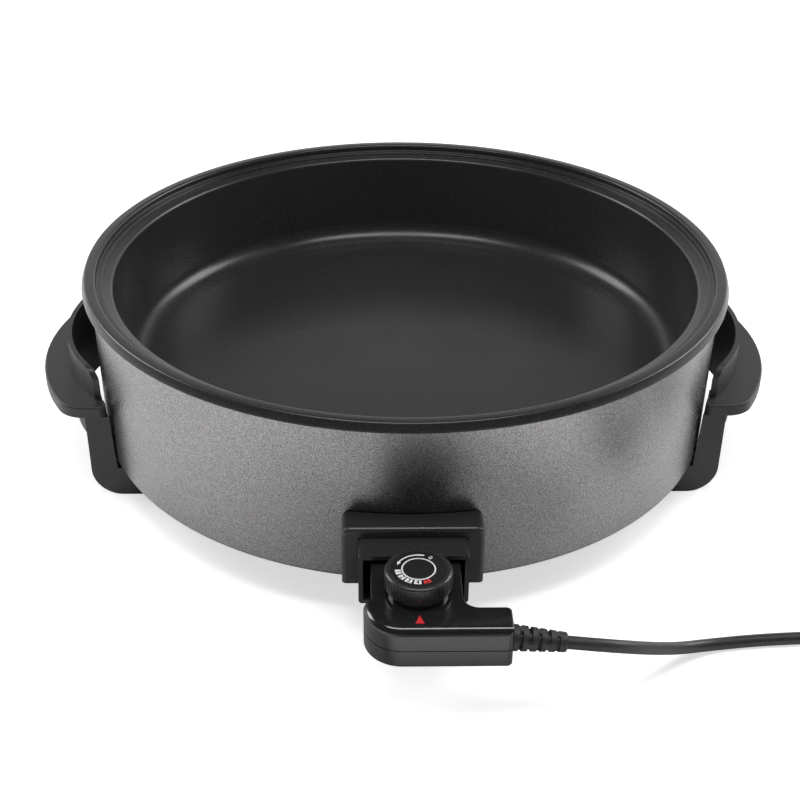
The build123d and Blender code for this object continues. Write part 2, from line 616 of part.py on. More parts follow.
def leg(side):
    """One leg: down from the grip and in under the casing."""
    y0 = LEG_Y0 if side > 0 else -LEG_Y1
    points = [(LEG_X, y0, GRIP_TOP_Z - GRIP_T / 2), (LEG_X, y0, 0), (ARM_END_X, y0, 0),
              (ARM_END_X, y0, ARM_TOP_Z), (LEG_X - LEG_DEPTH, y0, ARM_TOP_Z),
              (LEG_X - LEG_DEPTH, y0, GRIP_TOP_Z - GRIP_T / 2)]
    radii = [0, LEG_TOE_R, ARM_HEEL_R, ARM_HEEL_R, 0, 0]
    face = make_face(FilletPolyline(*points, radius=radii, close=True))
    return extrude(face, amount=LEG_Y1 - LEG_Y0, dir=(0, 1, 0))


def handle_screws():
    """Screws from inside the feet, through the base plate and into the pan's bosses."""
    solids = []
    for x, y in handle_screw_places():
        shank = post(M4_R, M4_SEAT_Z, BASE_TOP_Z + M4_ENGAGE, x, y)
        head = post(M4_HEAD_R, M4_SEAT_Z - M4_HEAD_H, M4_SEAT_Z, x, y)
        under = M4_SEAT_Z - M4_HEAD_H
        slot = block(x - M4_HEAD_R, x + M4_HEAD_R, y - M4_SLOT_W / 2, y + M4_SLOT_W / 2, under - 1,
                     under + M4_SLOT_D)
        solids.append(shank + head - slot)
    return group(solids)


# ------------------------------------------------------------------ thermostat controller
def body_corners(inset=0.0):
    """Plan corners of the controller's body, without its plug-in head."""
    curve = NECK_CURVE_R + inset
    return [
        (NECK_LEFT_X + inset, BODY_REAR_Y - inset, NECK_CHAMFER),
        (NECK_LEFT_X + inset, NECK_STEP_Y, BODY_STEP_R),
        (BODY_LEFT_X + inset, NECK_STEP_Y - NECK_STEP_L, BODY_STEP_R),
        (BODY_LEFT_X + inset, BODY_FRONT_Y + inset, BODY_CORNER_R - inset),
        (BODY_RIGHT_X - inset, BODY_FRONT_Y + inset, BODY_SMALL_R - inset),
        (BODY_RIGHT_X - inset, ARM_REAR_Y - inset, BODY_SMALL_R - inset),
        (NECK_RIGHT_X - inset, ARM_REAR_Y - inset, curve),
        (NECK_RIGHT_X - inset, BODY_REAR_Y - inset, NECK_CHAMFER),
    ]


def shell_outside():
    """Full outside of the two closed shells."""
    body = plan_slab(body_corners(), BODY_BOTTOM_Z, BODY_TOP_Z)
    body = fillet(top_edges(body, BODY_TOP_Z), BODY_EDGE_R)
    body = fillet(top_edges(body, BODY_BOTTOM_Z), BODY_FOOT_R)
    body = body - front_edge_waste() - rear_rebate()
    head = block(-HEAD_HALF_W, HEAD_HALF_W, BODY_REAR_Y - 3, HEAD_REAR_Y, HEAD_BOTTOM_Z, HEAD_TOP_Z)
    head = fillet(head.edges().filter_by(Axis.Y), HEAD_EDGE_R)
    return body + head


def front_edge_waste():
    """What the larger rounding takes off the body's top, along its front and left faces."""
    right = BODY_RIGHT_X + 1
    corners = [(BODY_LEFT_X, NECK_STEP_Y, 0), (BODY_LEFT_X, BODY_FRONT_Y, BODY_CORNER_R),
               (right, BODY_FRONT_Y, 0), (right, NECK_STEP_Y, 0)]
    slab = plan_slab(corners, BODY_TOP_Z - 2 * BODY_FRONT_EDGE_R, BODY_TOP_Z)
    outer = [e for e in top_edges(slab, BODY_TOP_Z)
             if e.center().X < BODY_RIGHT_X and e.center().Y < NECK_STEP_Y - 1e-3]
    return slab - fillet(outer, BODY_FRONT_EDGE_R)


def rear_rebate():
    """Strip taken off the neck's top at its rear, behind the raised top's rounded corners."""
    step_y = BODY_REAR_Y - REBATE_L
    x0, x1 = NECK_LEFT_X, NECK_RIGHT_X
    strip = block(x0 - 1, x1 + 1, step_y - NECK_CHAMFER, BODY_REAR_Y + 1, BODY_TOP_Z - REBATE_H,
                  BODY_TOP_Z + 1)
    raised = [(x0 - 2, step_y - 2 * NECK_CHAMFER, 0), (x1 + 2, step_y - 2 * NECK_CHAMFER, 0),
              (x1 + 2, step_y - NECK_CHAMFER, 0), (x1, step_y - NECK_CHAMFER, 0),
              (x1, step_y, NECK_CHAMFER * 0.9), (x0, step_y, NECK_CHAMFER * 0.9),
              (x0, step_y - NECK_CHAMFER, 0), (x0 - 2, step_y - NECK_CHAMFER, 0)]
    return strip - plan_slab(raised, BODY_TOP_Z - REBATE_H - 1, BODY_TOP_Z + 2)


def seam_groove():
    """Fine groove round the body where its shells meet, up to the plug-in head."""
    z0, z1 = SEAM_Z - GROOVE_H / 2, SEAM_Z + GROOVE_H / 2
    ring = plan_slab(body_corners(-1), z0, z1) - plan_slab(body_corners(GROOVE_D), z0 - 1, z1 + 1)
    return ring - block(-FAR, FAR, BODY_REAR_Y - NECK_CHAMFER, FAR, z0 - 1, z1 + 1)


def shell_inside():
    """Hollow of the two closed shells, open at the head's rear."""
    body = plan_slab(body_corners(SHELL_WALL), BODY_BOTTOM_Z + SHELL_WALL, BODY_TOP_Z - SHELL_WALL)
    half = HEAD_HALF_W - SHELL_WALL
    head = block(-half, half, BODY_REAR_Y - 6, HEAD_REAR_Y + 5, HEAD_BOTTOM_Z + SHELL_WALL,
                 HEAD_TOP_Z - SHELL_WALL)
    return body + head


def shell_screw_places():
    return [(BODY_LEFT_X + SHELL_POST_INSET, NECK_STEP_Y - SIDE_POST_BACK),
            (BODY_RIGHT_X - CORD_POST_BACK, BODY_FRONT_Y + SHELL_POST_INSET),
            (NECK_RIGHT_X - SHELL_POST_INSET, BODY_REAR_Y - HEAD_POST_BACK)]


def relief_point(distance):
    """Point on the strain relief's axis, from the shell's end face."""
    direction = Vector(1, 0, -RELIEF_FALL).normalized()
    return Vector(BODY_RIGHT_X, RELIEF_Y, RELIEF_Z) + direction * distance


def relief_cone(r0, r1, d0, d1):
    """Cone along the strain relief's axis between two distances."""
    axis = Vector(1, 0, -RELIEF_FALL)
    base = Plane(origin=relief_point((d0 + d1) / 2), z_dir=axis)
    if abs(r0 - r1) < 1e-6:
        return base * Cylinder(r0, d1 - d0)
    return base * Cone(r0, r1, d1 - d0)


def marker_corners(grow=0.0):
    """Red triangle in front of the dial, its tip towards the dial."""
    half = MARKER_W / 2 + grow
    tip = MARKER_TIP_Y + 2 * grow
    foot = MARKER_TIP_Y - MARKER_L - grow
    return [(MARKER_X, tip, 0), (MARKER_X - half, foot, 0), (MARKER_X + half, foot, 0)]


def controller_shells():
    """Top and base mouldings of the thermostat controller."""
    whole = shell_outside() - seam_groove() - shell_inside()
    bite = SHELL_WALL / 4
    for x, y in shell_screw_places():
        whole += post(SHELL_POST_R, BODY_BOTTOM_Z + bite, BODY_TOP_Z - SHELL_WALL + bite, x, y)
        whole -= post(SHELL_SCREW_R + RUN_GAP, BODY_BOTTOM_Z - 1, SEAM_Z + SHELL_SCREW_BITE + 1, x, y)
        whole -= post(SHELL_SCREW_HEAD_R + RUN_GAP, BODY_BOTTOM_Z - 1,
                      BODY_BOTTOM_Z + SHELL_SCREW_SEAT, x, y)
    collar_top = KNOB_BOTTOM_Z - COLLAR_GAP
    collar = post(COLLAR_R, BODY_TOP_Z - 0.5, collar_top, DIAL_X, DIAL_Y)
    whole += fillet(top_edges(collar, collar_top), COLLAR_EDGE_R)
    whole -= post(SPINDLE_R + RUN_GAP, SEAM_Z, KNOB_BOTTOM_Z + 1, DIAL_X, DIAL_Y)
    whole -= plan_slab(marker_corners(RUN_GAP), BODY_TOP_Z - SHELL_WALL - 1, BODY_TOP_Z + 1)
    whole -= relief_cone(RELIEF_NECK_R + RUN_GAP, RELIEF_NECK_R + RUN_GAP, -SHELL_WALL - 2, 2)
    high = block(-FAR, FAR, -FAR, FAR, SEAM_Z, FAR)
    low = block(-FAR, FAR, -FAR, FAR, -FAR, SEAM_Z)
    return whole & high, whole & low


def shell_screws():
    """Screws that close the shells from below."""
    solids = []
    for x, y in shell_screw_places():
        seat = BODY_BOTTOM_Z + SHELL_SCREW_SEAT
        shank = post(SHELL_SCREW_R, seat, SEAM_Z + SHELL_SCREW_BITE, x, y)
        solids.append(shank + post(SHELL_SCREW_HEAD_R, seat - SHELL_SCREW_HEAD_H, seat, x, y))
    return group(solids)


def contact_carrier():
    """Heat-proof block in the head's open rear that holds the contact sleeves."""
    half = HEAD_HALF_W - SHELL_WALL - RUN_GAP
    carrier = block(-half, half, CARRIER_Y, HEAD_REAR_Y, HEAD_BOTTOM_Z + SHELL_WALL + RUN_GAP,
                    HEAD_TOP_Z - SHELL_WALL - RUN_GAP)
    sleeve_r = PIN_D / 2 + RUN_GAP + SLEEVE_WALL
    for x in (-PIN_X, PIN_X):
        carrier -= rod_y(sleeve_r + RUN_GAP, CARRIER_Y - 1, HEAD_REAR_Y + 1, x, PIN_Z)
    carrier -= rod_y(PROBE_D / 2 + RUN_GAP, CARRIER_Y - 1, HEAD_REAR_Y + 1, 0, PIN_Z)
    return carrier


def contact_sleeves():
    """Sprung brass sleeves that grip the pins."""
    sleeve_r = PIN_D / 2 + RUN_GAP + SLEEVE_WALL
    solids = []
    for x in (-PIN_X, PIN_X):
        y1 = HEAD_REAR_Y - SLEEVE_SET
        y0 = min(y1 - SLEEVE_L, PIN_TIP_Y - 1.0)
        sleeve = rod_y(sleeve_r, y0, y1, x, PIN_Z)
        sleeve -= rod_y(PIN_D / 2 + RUN_GAP, y0 - 1, y1 + 1, x, PIN_Z)
        solids.append(sleeve)
    return group(solids)


def bracket_y():
    return BODY_REAR_Y - SHELL_WALL - BRACKET_GAP


def probe_rod():
    """Sensing rod that reaches into the well under the pan's floor."""
    rod = rod_y(PROBE_D / 2, bracket_y() - PROBE_ROOT, PROBE_TIP_Y, 0, PIN_Z)
    return fillet(ring_at_y(rod, PROBE_TIP_Y), PROBE_D / 4)


def thermostat_frame():
    """Bent steel bracket: a foot on the base shell and a tab around the probe."""
    floor_z = BODY_BOTTOM_Z + SHELL_WALL
    y = bracket_y()
    half = BRACKET_W / 2
    foot = block(-half, half, DIAL_Y - 8, y, floor_z, floor_z + BRACKET_T)
    tab = block(-half, half, y - BRACKET_T, y, floor_z, HEAD_TOP_Z - SHELL_WALL - 0.3)
    tab -= rod_y(PROBE_D / 2 + RUN_GAP, y - 5, y + 5, 0, PIN_Z)
    return foot + tab


def blade_z():
    """Underside of the moving blade, just below the plunger's tip."""
    return SPINDLE_BOTTOM_Z - PLUNGER_TIP - BLADE_CLEAR - BLADE_T


def stack_y():
    """Rear face of the contact stack."""
    return bracket_y() - BRACKET_T - STACK_BACK


def lower_blade_z():
    """Underside of the fixed blade."""
    return blade_z() - BLADE_GAP - BLADE_T


def contact_stack():
    """Ceramic block that carries both blades."""
    floor_z = BODY_BOTTOM_Z + SHELL_WALL + BRACKET_T
    return block(-STACK_W / 2, STACK_W / 2, stack_y() - STACK_L, stack_y(), floor_z, lower_blade_z())


def fixed_contact():
    """Lower blade with its silver rivet."""
    z = lower_blade_z()
    blade = block(-BLADE_W / 2, BLADE_W / 2, DIAL_Y - BLADE_REACH, stack_y(), z, z + BLADE_T)
    rivet = post(RIVET_R, z + BLADE_T - 0.1, z + BLADE_T + RIVET_H, 0, DIAL_Y - BLADE_REACH / 2)
    return blade + rivet


def bimetal_blade():
    """Upper two-metal blade, spaced off the lower one by its own crimped foot."""
    z = blade_z()
    blade = block(-BLADE_W / 2, BLADE_W / 2, DIAL_Y - BLADE_REACH, stack_y(), z, z + BLADE_T)
    foot = block(-BLADE_W / 2, BLADE_W / 2, stack_y() - STACK_L + 1, stack_y(),
                 lower_blade_z() + BLADE_T, z + 0.1)
    rivet = post(RIVET_R, z - RIVET_H, z + 0.1, 0, DIAL_Y - BLADE_REACH / 2)
    return blade + foot + rivet


def pilot_lens():
    """Clear red triangle that shows the lamp and marks the setting."""
    return plan_slab(marker_corners(), BODY_TOP_Z - LENS_DEPTH, BODY_TOP_Z + LENS_PROUD)


def pilot_lamp():
    """Neon lamp lying under the lens."""
    y = MARKER_TIP_Y - MARKER_L / 2
    z = BODY_TOP_Z - LENS_DEPTH - LAMP_R - 0.1
    lamp = rod_x(LAMP_R, MARKER_X - LAMP_L / 2, MARKER_X + LAMP_L / 2, y, z)
    return fillet(lamp.edges().filter_by(GeomType.CIRCLE), LAMP_R * 0.6)


def cord_clamp():
    """Bar that pins the cord inside the shell."""
    floor_z = BODY_BOTTOM_Z + SHELL_WALL
    x1 = BODY_RIGHT_X - CLAMP_BACK
    return block(x1 - CLAMP_L, x1, RELIEF_Y - CLAMP_W / 2, RELIEF_Y + CLAMP_W / 2, floor_z,
                 RELIEF_Z - CLAMP_DROP)


def strain_relief():
    """Rubber boot with a flange inside the shell and crossed rings of notches outside."""
    lean = RELIEF_FALL * RELIEF_R0
    flange_d = -SHELL_WALL - lean - 0.4
    boot = relief_cone(RELIEF_R0, RELIEF_R1, -1, RELIEF_L)
    boot = fillet(boot.faces().sort_by(Axis.X)[-1].edges(), RELIEF_END_R)
    boot -= block(BODY_RIGHT_X - 20, BODY_RIGHT_X + RUN_GAP, RELIEF_Y - 20, RELIEF_Y + 20, 0, 100)
    neck = relief_cone(RELIEF_NECK_R, RELIEF_NECK_R, flange_d - 0.5, 2 * lean)
    flange = relief_cone(RELIEF_FLANGE_R, RELIEF_FLANGE_R, flange_d - RELIEF_FLANGE_T, flange_d)
    boot += neck + flange
    reach = 2 * RELIEF_R0
    for i in range(NOTCHES):
        middle = relief_point(NOTCH_START + i * NOTCH_PITCH)
        cut = Plane(origin=middle, z_dir=(1, 0, -RELIEF_FALL))
        ring = cut * (Cylinder(RELIEF_R0 + 2, NOTCH_W) - Cylinder(CORD_D / 2 + 0.3, NOTCH_W))
        half_y, half_z = (NOTCH_SPINE, reach) if i % 2 == 0 else (reach, NOTCH_SPINE)
        boot -= ring - Pos(middle) * Box(reach, 2 * half_y, 2 * half_z)
    return boot


# ------------------------------------------------------------------ dial
def spindle_top_z():
    """Top of the spindle, under the knob's roof."""
    return KNOB_TOP_Z - DISC_T - KNOB_ROOF


def dial_knob():
    """Turning knob, wider at its foot, hollow for the spindle and recessed for its face."""
    height = KNOB_TOP_Z - KNOB_BOTTOM_Z
    knob = Pos(DIAL_X, DIAL_Y, KNOB_BOTTOM_Z + height / 2) * Cone(KNOB_R0, KNOB_R1, height)
    knob = fillet(top_edges(knob, KNOB_TOP_Z), KNOB_EDGE_R)
    knob -= post(DISC_R + RUN_GAP, KNOB_TOP_Z - DISC_T, KNOB_TOP_Z + 1, DIAL_X, DIAL_Y)
    knob -= post(SPINDLE_R + RUN_GAP / 2, KNOB_BOTTOM_Z - 1, spindle_top_z(), DIAL_X, DIAL_Y)
    return knob


def dial_disc():
    """Printed face let into the knob."""
    return post(DISC_R, KNOB_TOP_Z - DISC_T, KNOB_TOP_Z, DIAL_X, DIAL_Y)


def dial_spindle():
    """Spindle from the knob into the shell, threaded inside for the plunger."""
    spindle = post(SPINDLE_R, SPINDLE_BOTTOM_Z, spindle_top_z(), DIAL_X, DIAL_Y)
    keeper_top = BODY_TOP_Z - SHELL_WALL - 0.3
    spindle += post(KEEPER_R, keeper_top - KEEPER_T, keeper_top, DIAL_X, DIAL_Y)
    spindle -= post(PLUNGER_R + RUN_GAP, SPINDLE_BOTTOM_Z - 1, SPINDLE_BOTTOM_Z + PLUNGER_SEAT + 2,
                    DIAL_X, DIAL_Y)
    return spindle


def plunger():
    """Adjusting plunger that the spindle's thread moves up and down."""
    return post(PLUNGER_R, SPINDLE_BOTTOM_Z - PLUNGER_TIP, SPINDLE_BOTTOM_Z + PLUNGER_SEAT,
                DIAL_X, DIAL_Y)


# ------------------------------------------------------------------ cord and plug
def cord_points():
    """Corners of the lead from the strain relief, down to the table and on to the coil."""
    start = relief_point(RELIEF_L)
    floor_z = CORD_D / 2
    return [
        start,
        start + Vector(1, 0, -RELIEF_FALL).normalized() * 17,
        Vector(109, -263.5, 35.0),
        Vector(125, -250.0, 22.0),
        Vector(142, -235.5, 9.0),
        Vector(161, -226.5, floor_z),
        Vector(188, -223.0, floor_z),
        Vector(222, -221.0, floor_z),
        Vector(252, COIL_Y - COIL_R1 + CORD_D / 2 + 0.4, floor_z),
        Vector(274, COIL_Y - COIL_R1 + CORD_D / 2, floor_z),
    ]


def tail_points():
    """Corners of the lead from the coil's upper turn to the plug."""
    end_y = PLUG_Y - PLUG_L - PLUG_TAIL_L
    top_turn_z = COIL_H - CORD_D / 2
    return [
        Vector(PLUG_X, end_y - 54.5, top_turn_z),
        Vector(PLUG_X, end_y - 36.5, top_turn_z),
        Vector(PLUG_X, end_y - 18, PLUG_R),
        Vector(PLUG_X, end_y, PLUG_R),
    ]


def turn_radii(points):
    """Arc radius for each inner corner, as large as its two runs allow."""
    radii = []
    for before, corner, after in zip(points, points[1:], points[2:]):
        turn = radians((corner - before).get_angle(after - corner))
        shorter = min((corner - before).length, (after - corner).length)
        radii.append(0.45 * shorter / tan(turn / 2))
    return radii


def tube(points, name):
    """Round cord along straight runs joined by tangent arcs."""
    radii = turn_radii(points)
    path = FilletPolyline(*points, radius=radii)
    section = Plane(origin=path @ 0, z_dir=path % 0) * Circle(CORD_D / 2)
    solid = sweep(section, path=path)
    expected = path.length * pi * CORD_D ** 2 / 4
    print(name, "length", round(path.length, 1), "radii", [round(r, 1) for r in radii],
          "volume ratio", round(solid.volume / expected, 4))
    return solid


def cord_coil():
    """Outer shape of the put-away turns of the lead."""
    ring = post(COIL_R1, 0, COIL_H, COIL_X, COIL_Y) - post(COIL_R0, -1, COIL_H + 1, COIL_X, COIL_Y)
    return fillet(ring.edges().filter_by(GeomType.CIRCLE), COIL_EDGE_R)


def coil_tie():
    """Band around the coil's turns."""
    x0, x1 = COIL_X - COIL_R1, COIL_X - COIL_R0
    y0, y1 = COIL_Y - TIE_W / 2, COIL_Y + TIE_W / 2
    outer = block(x0 - TIE_T, x1 + TIE_T, y0, y1, 0, COIL_H + TIE_T + SEAT_GAP)
    inner = block(x0 - 0.3, x1 + 0.5, y0 - 1, y1 + 1, -1, COIL_H + SEAT_GAP)
    return outer - inner


def plug_body():
    """Moulded earthed plug lying on its side."""
    back_y = PLUG_Y - PLUG_L
    body = rod_y(PLUG_R, back_y, PLUG_Y, PLUG_X, PLUG_R)
    body = fillet(ring_at_y(body, back_y), PLUG_BACK_R)
    body = fillet(ring_at_y(body, PLUG_Y), PLUG_EDGE_R)
    tail_y0, tail_y1 = back_y - PLUG_TAIL_L, back_y + PLUG_BACK_R
    tail = Pos(PLUG_X, (tail_y0 + tail_y1) / 2, PLUG_R) * Rot(-90, 0, 0)
    body += tail * Cone(PLUG_TAIL_END_R, PLUG_TAIL_R, tail_y1 - tail_y0)
    half = PLUG_GROOVE_W / 2
    for z in (0, 2 * PLUG_R):
        body -= block(PLUG_X - half, PLUG_X + half, PLUG_Y - PLUG_GROOVE_L, PLUG_Y + 1,
                      z - PLUG_GROOVE, z + PLUG_GROOVE)
    for x in plug_pin_x():
        body -= rod_y(PLUG_PIN_ROOT_R + RUN_GAP, PLUG_Y - PLUG_PIN_SET, PLUG_Y + 1, x, PLUG_R)
    return body


def plug_pin_x():
    return (PLUG_X - PLUG_PIN_PITCH / 2, PLUG_X + PLUG_PIN_PITCH / 2)


def plug_pins():
    """Two round pins that stand on the plug's face, each with a thinner root inside it."""
    solids = []
    for x in plug_pin_x():
        pin = rod_y(PLUG_PIN_R, PLUG_Y, PLUG_Y + PLUG_PIN_L, x, PLUG_R)
        pin = fillet(ring_at_y(pin, PLUG_Y + PLUG_PIN_L), PLUG_PIN_TIP_R)
        solids.append(pin + rod_y(PLUG_PIN_ROOT_R, PLUG_Y - PLUG_PIN_SET, PLUG_Y, x, PLUG_R))
    return group(solids)


def plug_earth_clips():
    """Earth strips in the plug's two side grooves."""
    half = PLUG_CLIP_W / 2
    y0 = PLUG_Y - PLUG_GROOVE_L
    solids = []
    for z in (PLUG_GROOVE - PLUG_CLIP_T, 2 * PLUG_R - PLUG_GROOVE):
        solids.append(block(PLUG_X - half, PLUG_X + half, y0, PLUG_Y, z, z + PLUG_CLIP_T))
    return group(solids)


# ------------------------------------------------------------------ build
keep("pan_bowl", pan_bowl())
keep("outer_casing", outer_casing())
keep("base_plate", base_plate())
keep("heating_element", heating_element())
keep("socket_frame", socket_frame())
keep("socket_screws", socket_screws())
keep("inlet_tunnel", inlet_tunnel())
keep("terminal_plate", terminal_plate())
keep("terminal_bushes", terminal_bushes())
keep("terminal_pins", terminal_pins())
keep("earth_springs", earth_springs())
right = handle_right()
keep("handle_right", right)
keep("handle_left", mirror(right, about=Plane.YZ))
keep("handle_screws", handle_screws())

top_shell, base_shell = controller_shells()
keep("controller_top_shell", top_shell)
keep("controller_base_shell", base_shell)
keep("shell_screws", shell_screws())
keep("contact_carrier", contact_carrier())
keep("contact_sleeves", contact_sleeves())
keep("probe_rod", probe_rod())
keep("thermostat_frame", thermostat_frame())
keep("contact_stack", contact_stack())
keep("fixed_contact", fixed_contact())
keep("bimetal_blade", bimetal_blade())
keep("pilot_lens", pilot_lens())
keep("pilot_lamp", pilot_lamp())
keep("cord_clamp", cord_clamp())
keep("strain_relief", strain_relief())

keep("dial_knob", dial_knob())
keep("dial_disc", dial_disc())
keep("dial_spindle", dial_spindle())
keep("adjusting_plunger", plunger())

keep("power_cord", tube(cord_points(), "power_cord"))
keep("cord_tail", tube(tail_points(), "cord_tail"))
keep("cord_coil", cord_coil())
keep("coil_tie", coil_tie())
keep("plug_body", plug_body())
keep("plug_pins", plug_pins())
keep("plug_earth_clips", plug_earth_clips())

for node, shape in nodes.items():
    export_step(shape, f"parts/{node}.step")
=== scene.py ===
import json
import math

import bpy
from mathutils import Matrix, Vector


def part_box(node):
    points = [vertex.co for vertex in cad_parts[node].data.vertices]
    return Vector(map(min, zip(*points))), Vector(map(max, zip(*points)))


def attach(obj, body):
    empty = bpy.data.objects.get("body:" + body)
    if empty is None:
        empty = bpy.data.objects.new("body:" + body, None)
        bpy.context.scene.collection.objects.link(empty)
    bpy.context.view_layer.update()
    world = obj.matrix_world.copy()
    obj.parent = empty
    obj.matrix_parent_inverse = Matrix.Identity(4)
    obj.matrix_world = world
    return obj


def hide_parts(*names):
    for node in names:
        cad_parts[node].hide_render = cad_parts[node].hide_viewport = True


# Round electric skillet with footed side handles and a plug-in dial thermostat on its lead.
# Lengths are in metres and angles in degrees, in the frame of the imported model.

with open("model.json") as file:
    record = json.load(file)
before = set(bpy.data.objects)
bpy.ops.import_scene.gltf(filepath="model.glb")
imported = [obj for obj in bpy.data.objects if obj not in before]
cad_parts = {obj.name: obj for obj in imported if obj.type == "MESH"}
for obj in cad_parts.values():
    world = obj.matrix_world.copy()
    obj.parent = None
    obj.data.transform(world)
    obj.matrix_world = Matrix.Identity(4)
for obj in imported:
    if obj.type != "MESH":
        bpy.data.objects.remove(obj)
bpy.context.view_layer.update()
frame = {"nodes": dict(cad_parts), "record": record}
slot_of = {part["node"]: part["material_slot"] for part in frame["record"]["subparts"]}

MM = 0.001


def mm(*lengths):
    """Lengths written in millimetres, as metres."""
    return tuple(length * MM for length in lengths)


# ------------------------------------------------------------------ camera and lights
CAMERA_PLACE = (-0.0216, -0.7785, 0.496)
CAMERA_PITCH = 31.37       # below the horizon
CAMERA_HEADING = 1.4       # to the right of +Y
CAMERA_ROLL = 0.53
CAMERA_LENS = 60.75
SENSOR_W = 36.0

AMBIENT = 0.28             # strength of the world on matt surfaces
GLOSS_SKY = 0.05           # what gloss mirrors from above and from the front
BACKDROP_Y = (-0.2, 0.5)   # gloss mirrors a pale backdrop, which begins between these directions
BACKDROP_Z = (0.58, 0.34)  # towards the rear and these down from the zenith

# name, place, aimed at, width, height, power
SOFTBOXES = [
    ("overhead", (0, -0.35, 1.8), (0, -0.15, 0.05), 1.5, 0.5, 15),
    ("left_side", (-1.6, 0.7, 1.2), (0, 0, 0.05), 0.9, 0.9, 16),
    ("right_side", (1.6, 0.7, 1.2), (0, 0, 0.05), 0.9, 0.9, 16),
]

# ------------------------------------------------------------------ floor
FLOOR_SIZE = 14.0
FLOOR_COLOUR = (0.84, 0.84, 0.84)
NEAR_LIFT, FAR_LIFT = 0.6, 0.8  # added to the floor where it is seen, so that it reads white
FAR_FLOOR = (1.0, 2.4)          # distances between which the near lift gives way to the far one

# How much of the floor gloss mirrors: painted shade in front of the object, so that the casing's
# middle mirrors it darker, and painted light beside it, so that the casing's sides mirror it
# brighter.
SHADE, PAINTED_LIGHT_LEFT, PAINTED_LIGHT_RIGHT = 0.24, 1.38, 1.32
SHADE_LEFT, SHADE_RIGHT = 0.24, 0.22  # the painted shade has faded out this far to each side
SHADE_REAR = (-0.2, -0.1)             # along Y it fades out between these towards the rear
SHADE_FRONT = (0.31, 0.335)           # and between these distances towards the front
SHADE_FAR = (0.365, 0.39)             # past a pale strip, the painted shade comes back between these, as a painted dark reflection up the casing's middle

# ------------------------------------------------------------------ grain, lines and clouds
NOISE_MIDDLE = 0.5
GRAIN_DETAIL, CLOUD_DETAIL = 3.0, 4.0
CLOUD_RANGE = (0.35, 0.65)  # of the noise, stretched over the whole variation
LINE_STRETCH = (1, 0.04, 1)
METAL_CLOUDS = 20 * MM

# ------------------------------------------------------------------ pan and casing
SKIN_T = 0.3 * MM           # coat and enamel, on the metal
SKIN_SIDES = 240
SKIN_SMOOTH = 30.0          # edges that turn by less are shaded smooth
WIDE_R = 5 * MM             # a rounding past this has more facets
ROUND_STEPS, WIDE_STEPS = 6, 12
RING_SLACK, LEVEL_SLACK = 0.1 * MM, 0.01 * MM  # within which a point counts as on a ring

# the pan's section, from the rim inwards
RIM_FLARE = 2.0 * MM        # the rim's face leans out this much
RIM_FACE = 5.0 * MM
RIM_HEM = 4.0 * MM          # of coat turned in under the rim
LIP_W, LIP_DROP = 6.5 * MM, 4.5 * MM        # flat top of the rim, and down to the ledge
LEDGE_W, STEP_DROP = 4.0 * MM, 1.5 * MM     # ledge for a loose lid, and the step below it
SLOPE_W, SLOPE_DROP = 6.0 * MM, 1.0 * MM    # from the step to the wall
PAN_TAPER = 5.5 * MM        # the wall's foot is this much narrower
FLOOR_Z = 61.0 * MM         # top of the cooking floor
FLOOR_EDGE_W = 2 * MM       # even facets round the floor
RIM_FOOT_R, RIM_EDGE_R, LIP_R = 0.6 * MM, 1.2 * MM, 1.6 * MM
LEDGE_R, STEP_R, WALL_TOP_R, PAN_CORNER_R = 1.0 * MM, 0.5 * MM, 2.5 * MM, 14.0 * MM

CASING_DRAFT, CASING_CORNER_R = 1.0 * MM, 2.4 * MM
CASING_FLANGE_W = 9.0 * MM
SEAT_GAP = 0.2 * MM         # between the enamel and the inlet's sleeve

# ------------------------------------------------------------------ lead
CORD_D = 6.8 * MM
CORD_SIDES, CORD_STEPS = 6, 8  # fineness round the lead and along it
LYING_Z, UPPER_Z = CORD_D / 2, CORD_D * 1.5
RELIEF_END = mm(74.89, -269.5, 44.09)
# the lead's route, past the strain relief's end and down to the first turn of the coil
CORD_ROUTE = [
    RELIEF_END,
    mm(91.76, -269.5, 41.98),
    mm(109, -263.5, 35),
    mm(125, -250, 22),
    mm(142, -235.5, 9),
    (*mm(161, -226.5), LYING_Z),
    (*mm(188, -223), LYING_Z),
    (*mm(222, -221), LYING_Z),
    (*mm(252, -221.1), LYING_Z),
    (*mm(274, -221.5), LYING_Z),
]
# and from the coil's last turn up to the plug
CORD_TAIL = [
    (*mm(320, -178.5), UPPER_Z),
    (*mm(320, -160.5), UPPER_Z),
    mm(320, -142, 19),
    mm(320, -124, 19),
]
COIL_CENTRE = mm(279, -180.5)
TURN_OUTER, TURN_INNER = 41 * MM, 34.2 * MM
TURN_STEP = 22.5
TURN_START, TURN_END = -90.0, 1080.0
# where the lead crosses between the outer and inner turns, and climbs to the upper layer
GO_IN, CLIMB, GO_OUT = (200, 265), (500, 560), (790, 850)

# ------------------------------------------------------------------ dial
KNOB_RIBS = 72
RIB_INSET, RIB_RISE = 0.12 * MM, 0.32 * MM
RIB_TOP_GAP, RIB_FOOT_GAP = 1.1 * MM, 2.0 * MM  # between the ribs' ends and the knob's
KNOB_TOP_R, KNOB_FOOT_R = 16.3 * MM, 17.15 * MM
KNOB_EDGE_R, KNOB_FOOT_EDGE_R = 0.8 * MM, 0.35 * MM
KNOB_EDGE_STEPS = 3
KNOB_SMOOTH = 28.0
DISC_GAP = 0.1 * MM       # round the dial's face in its recess

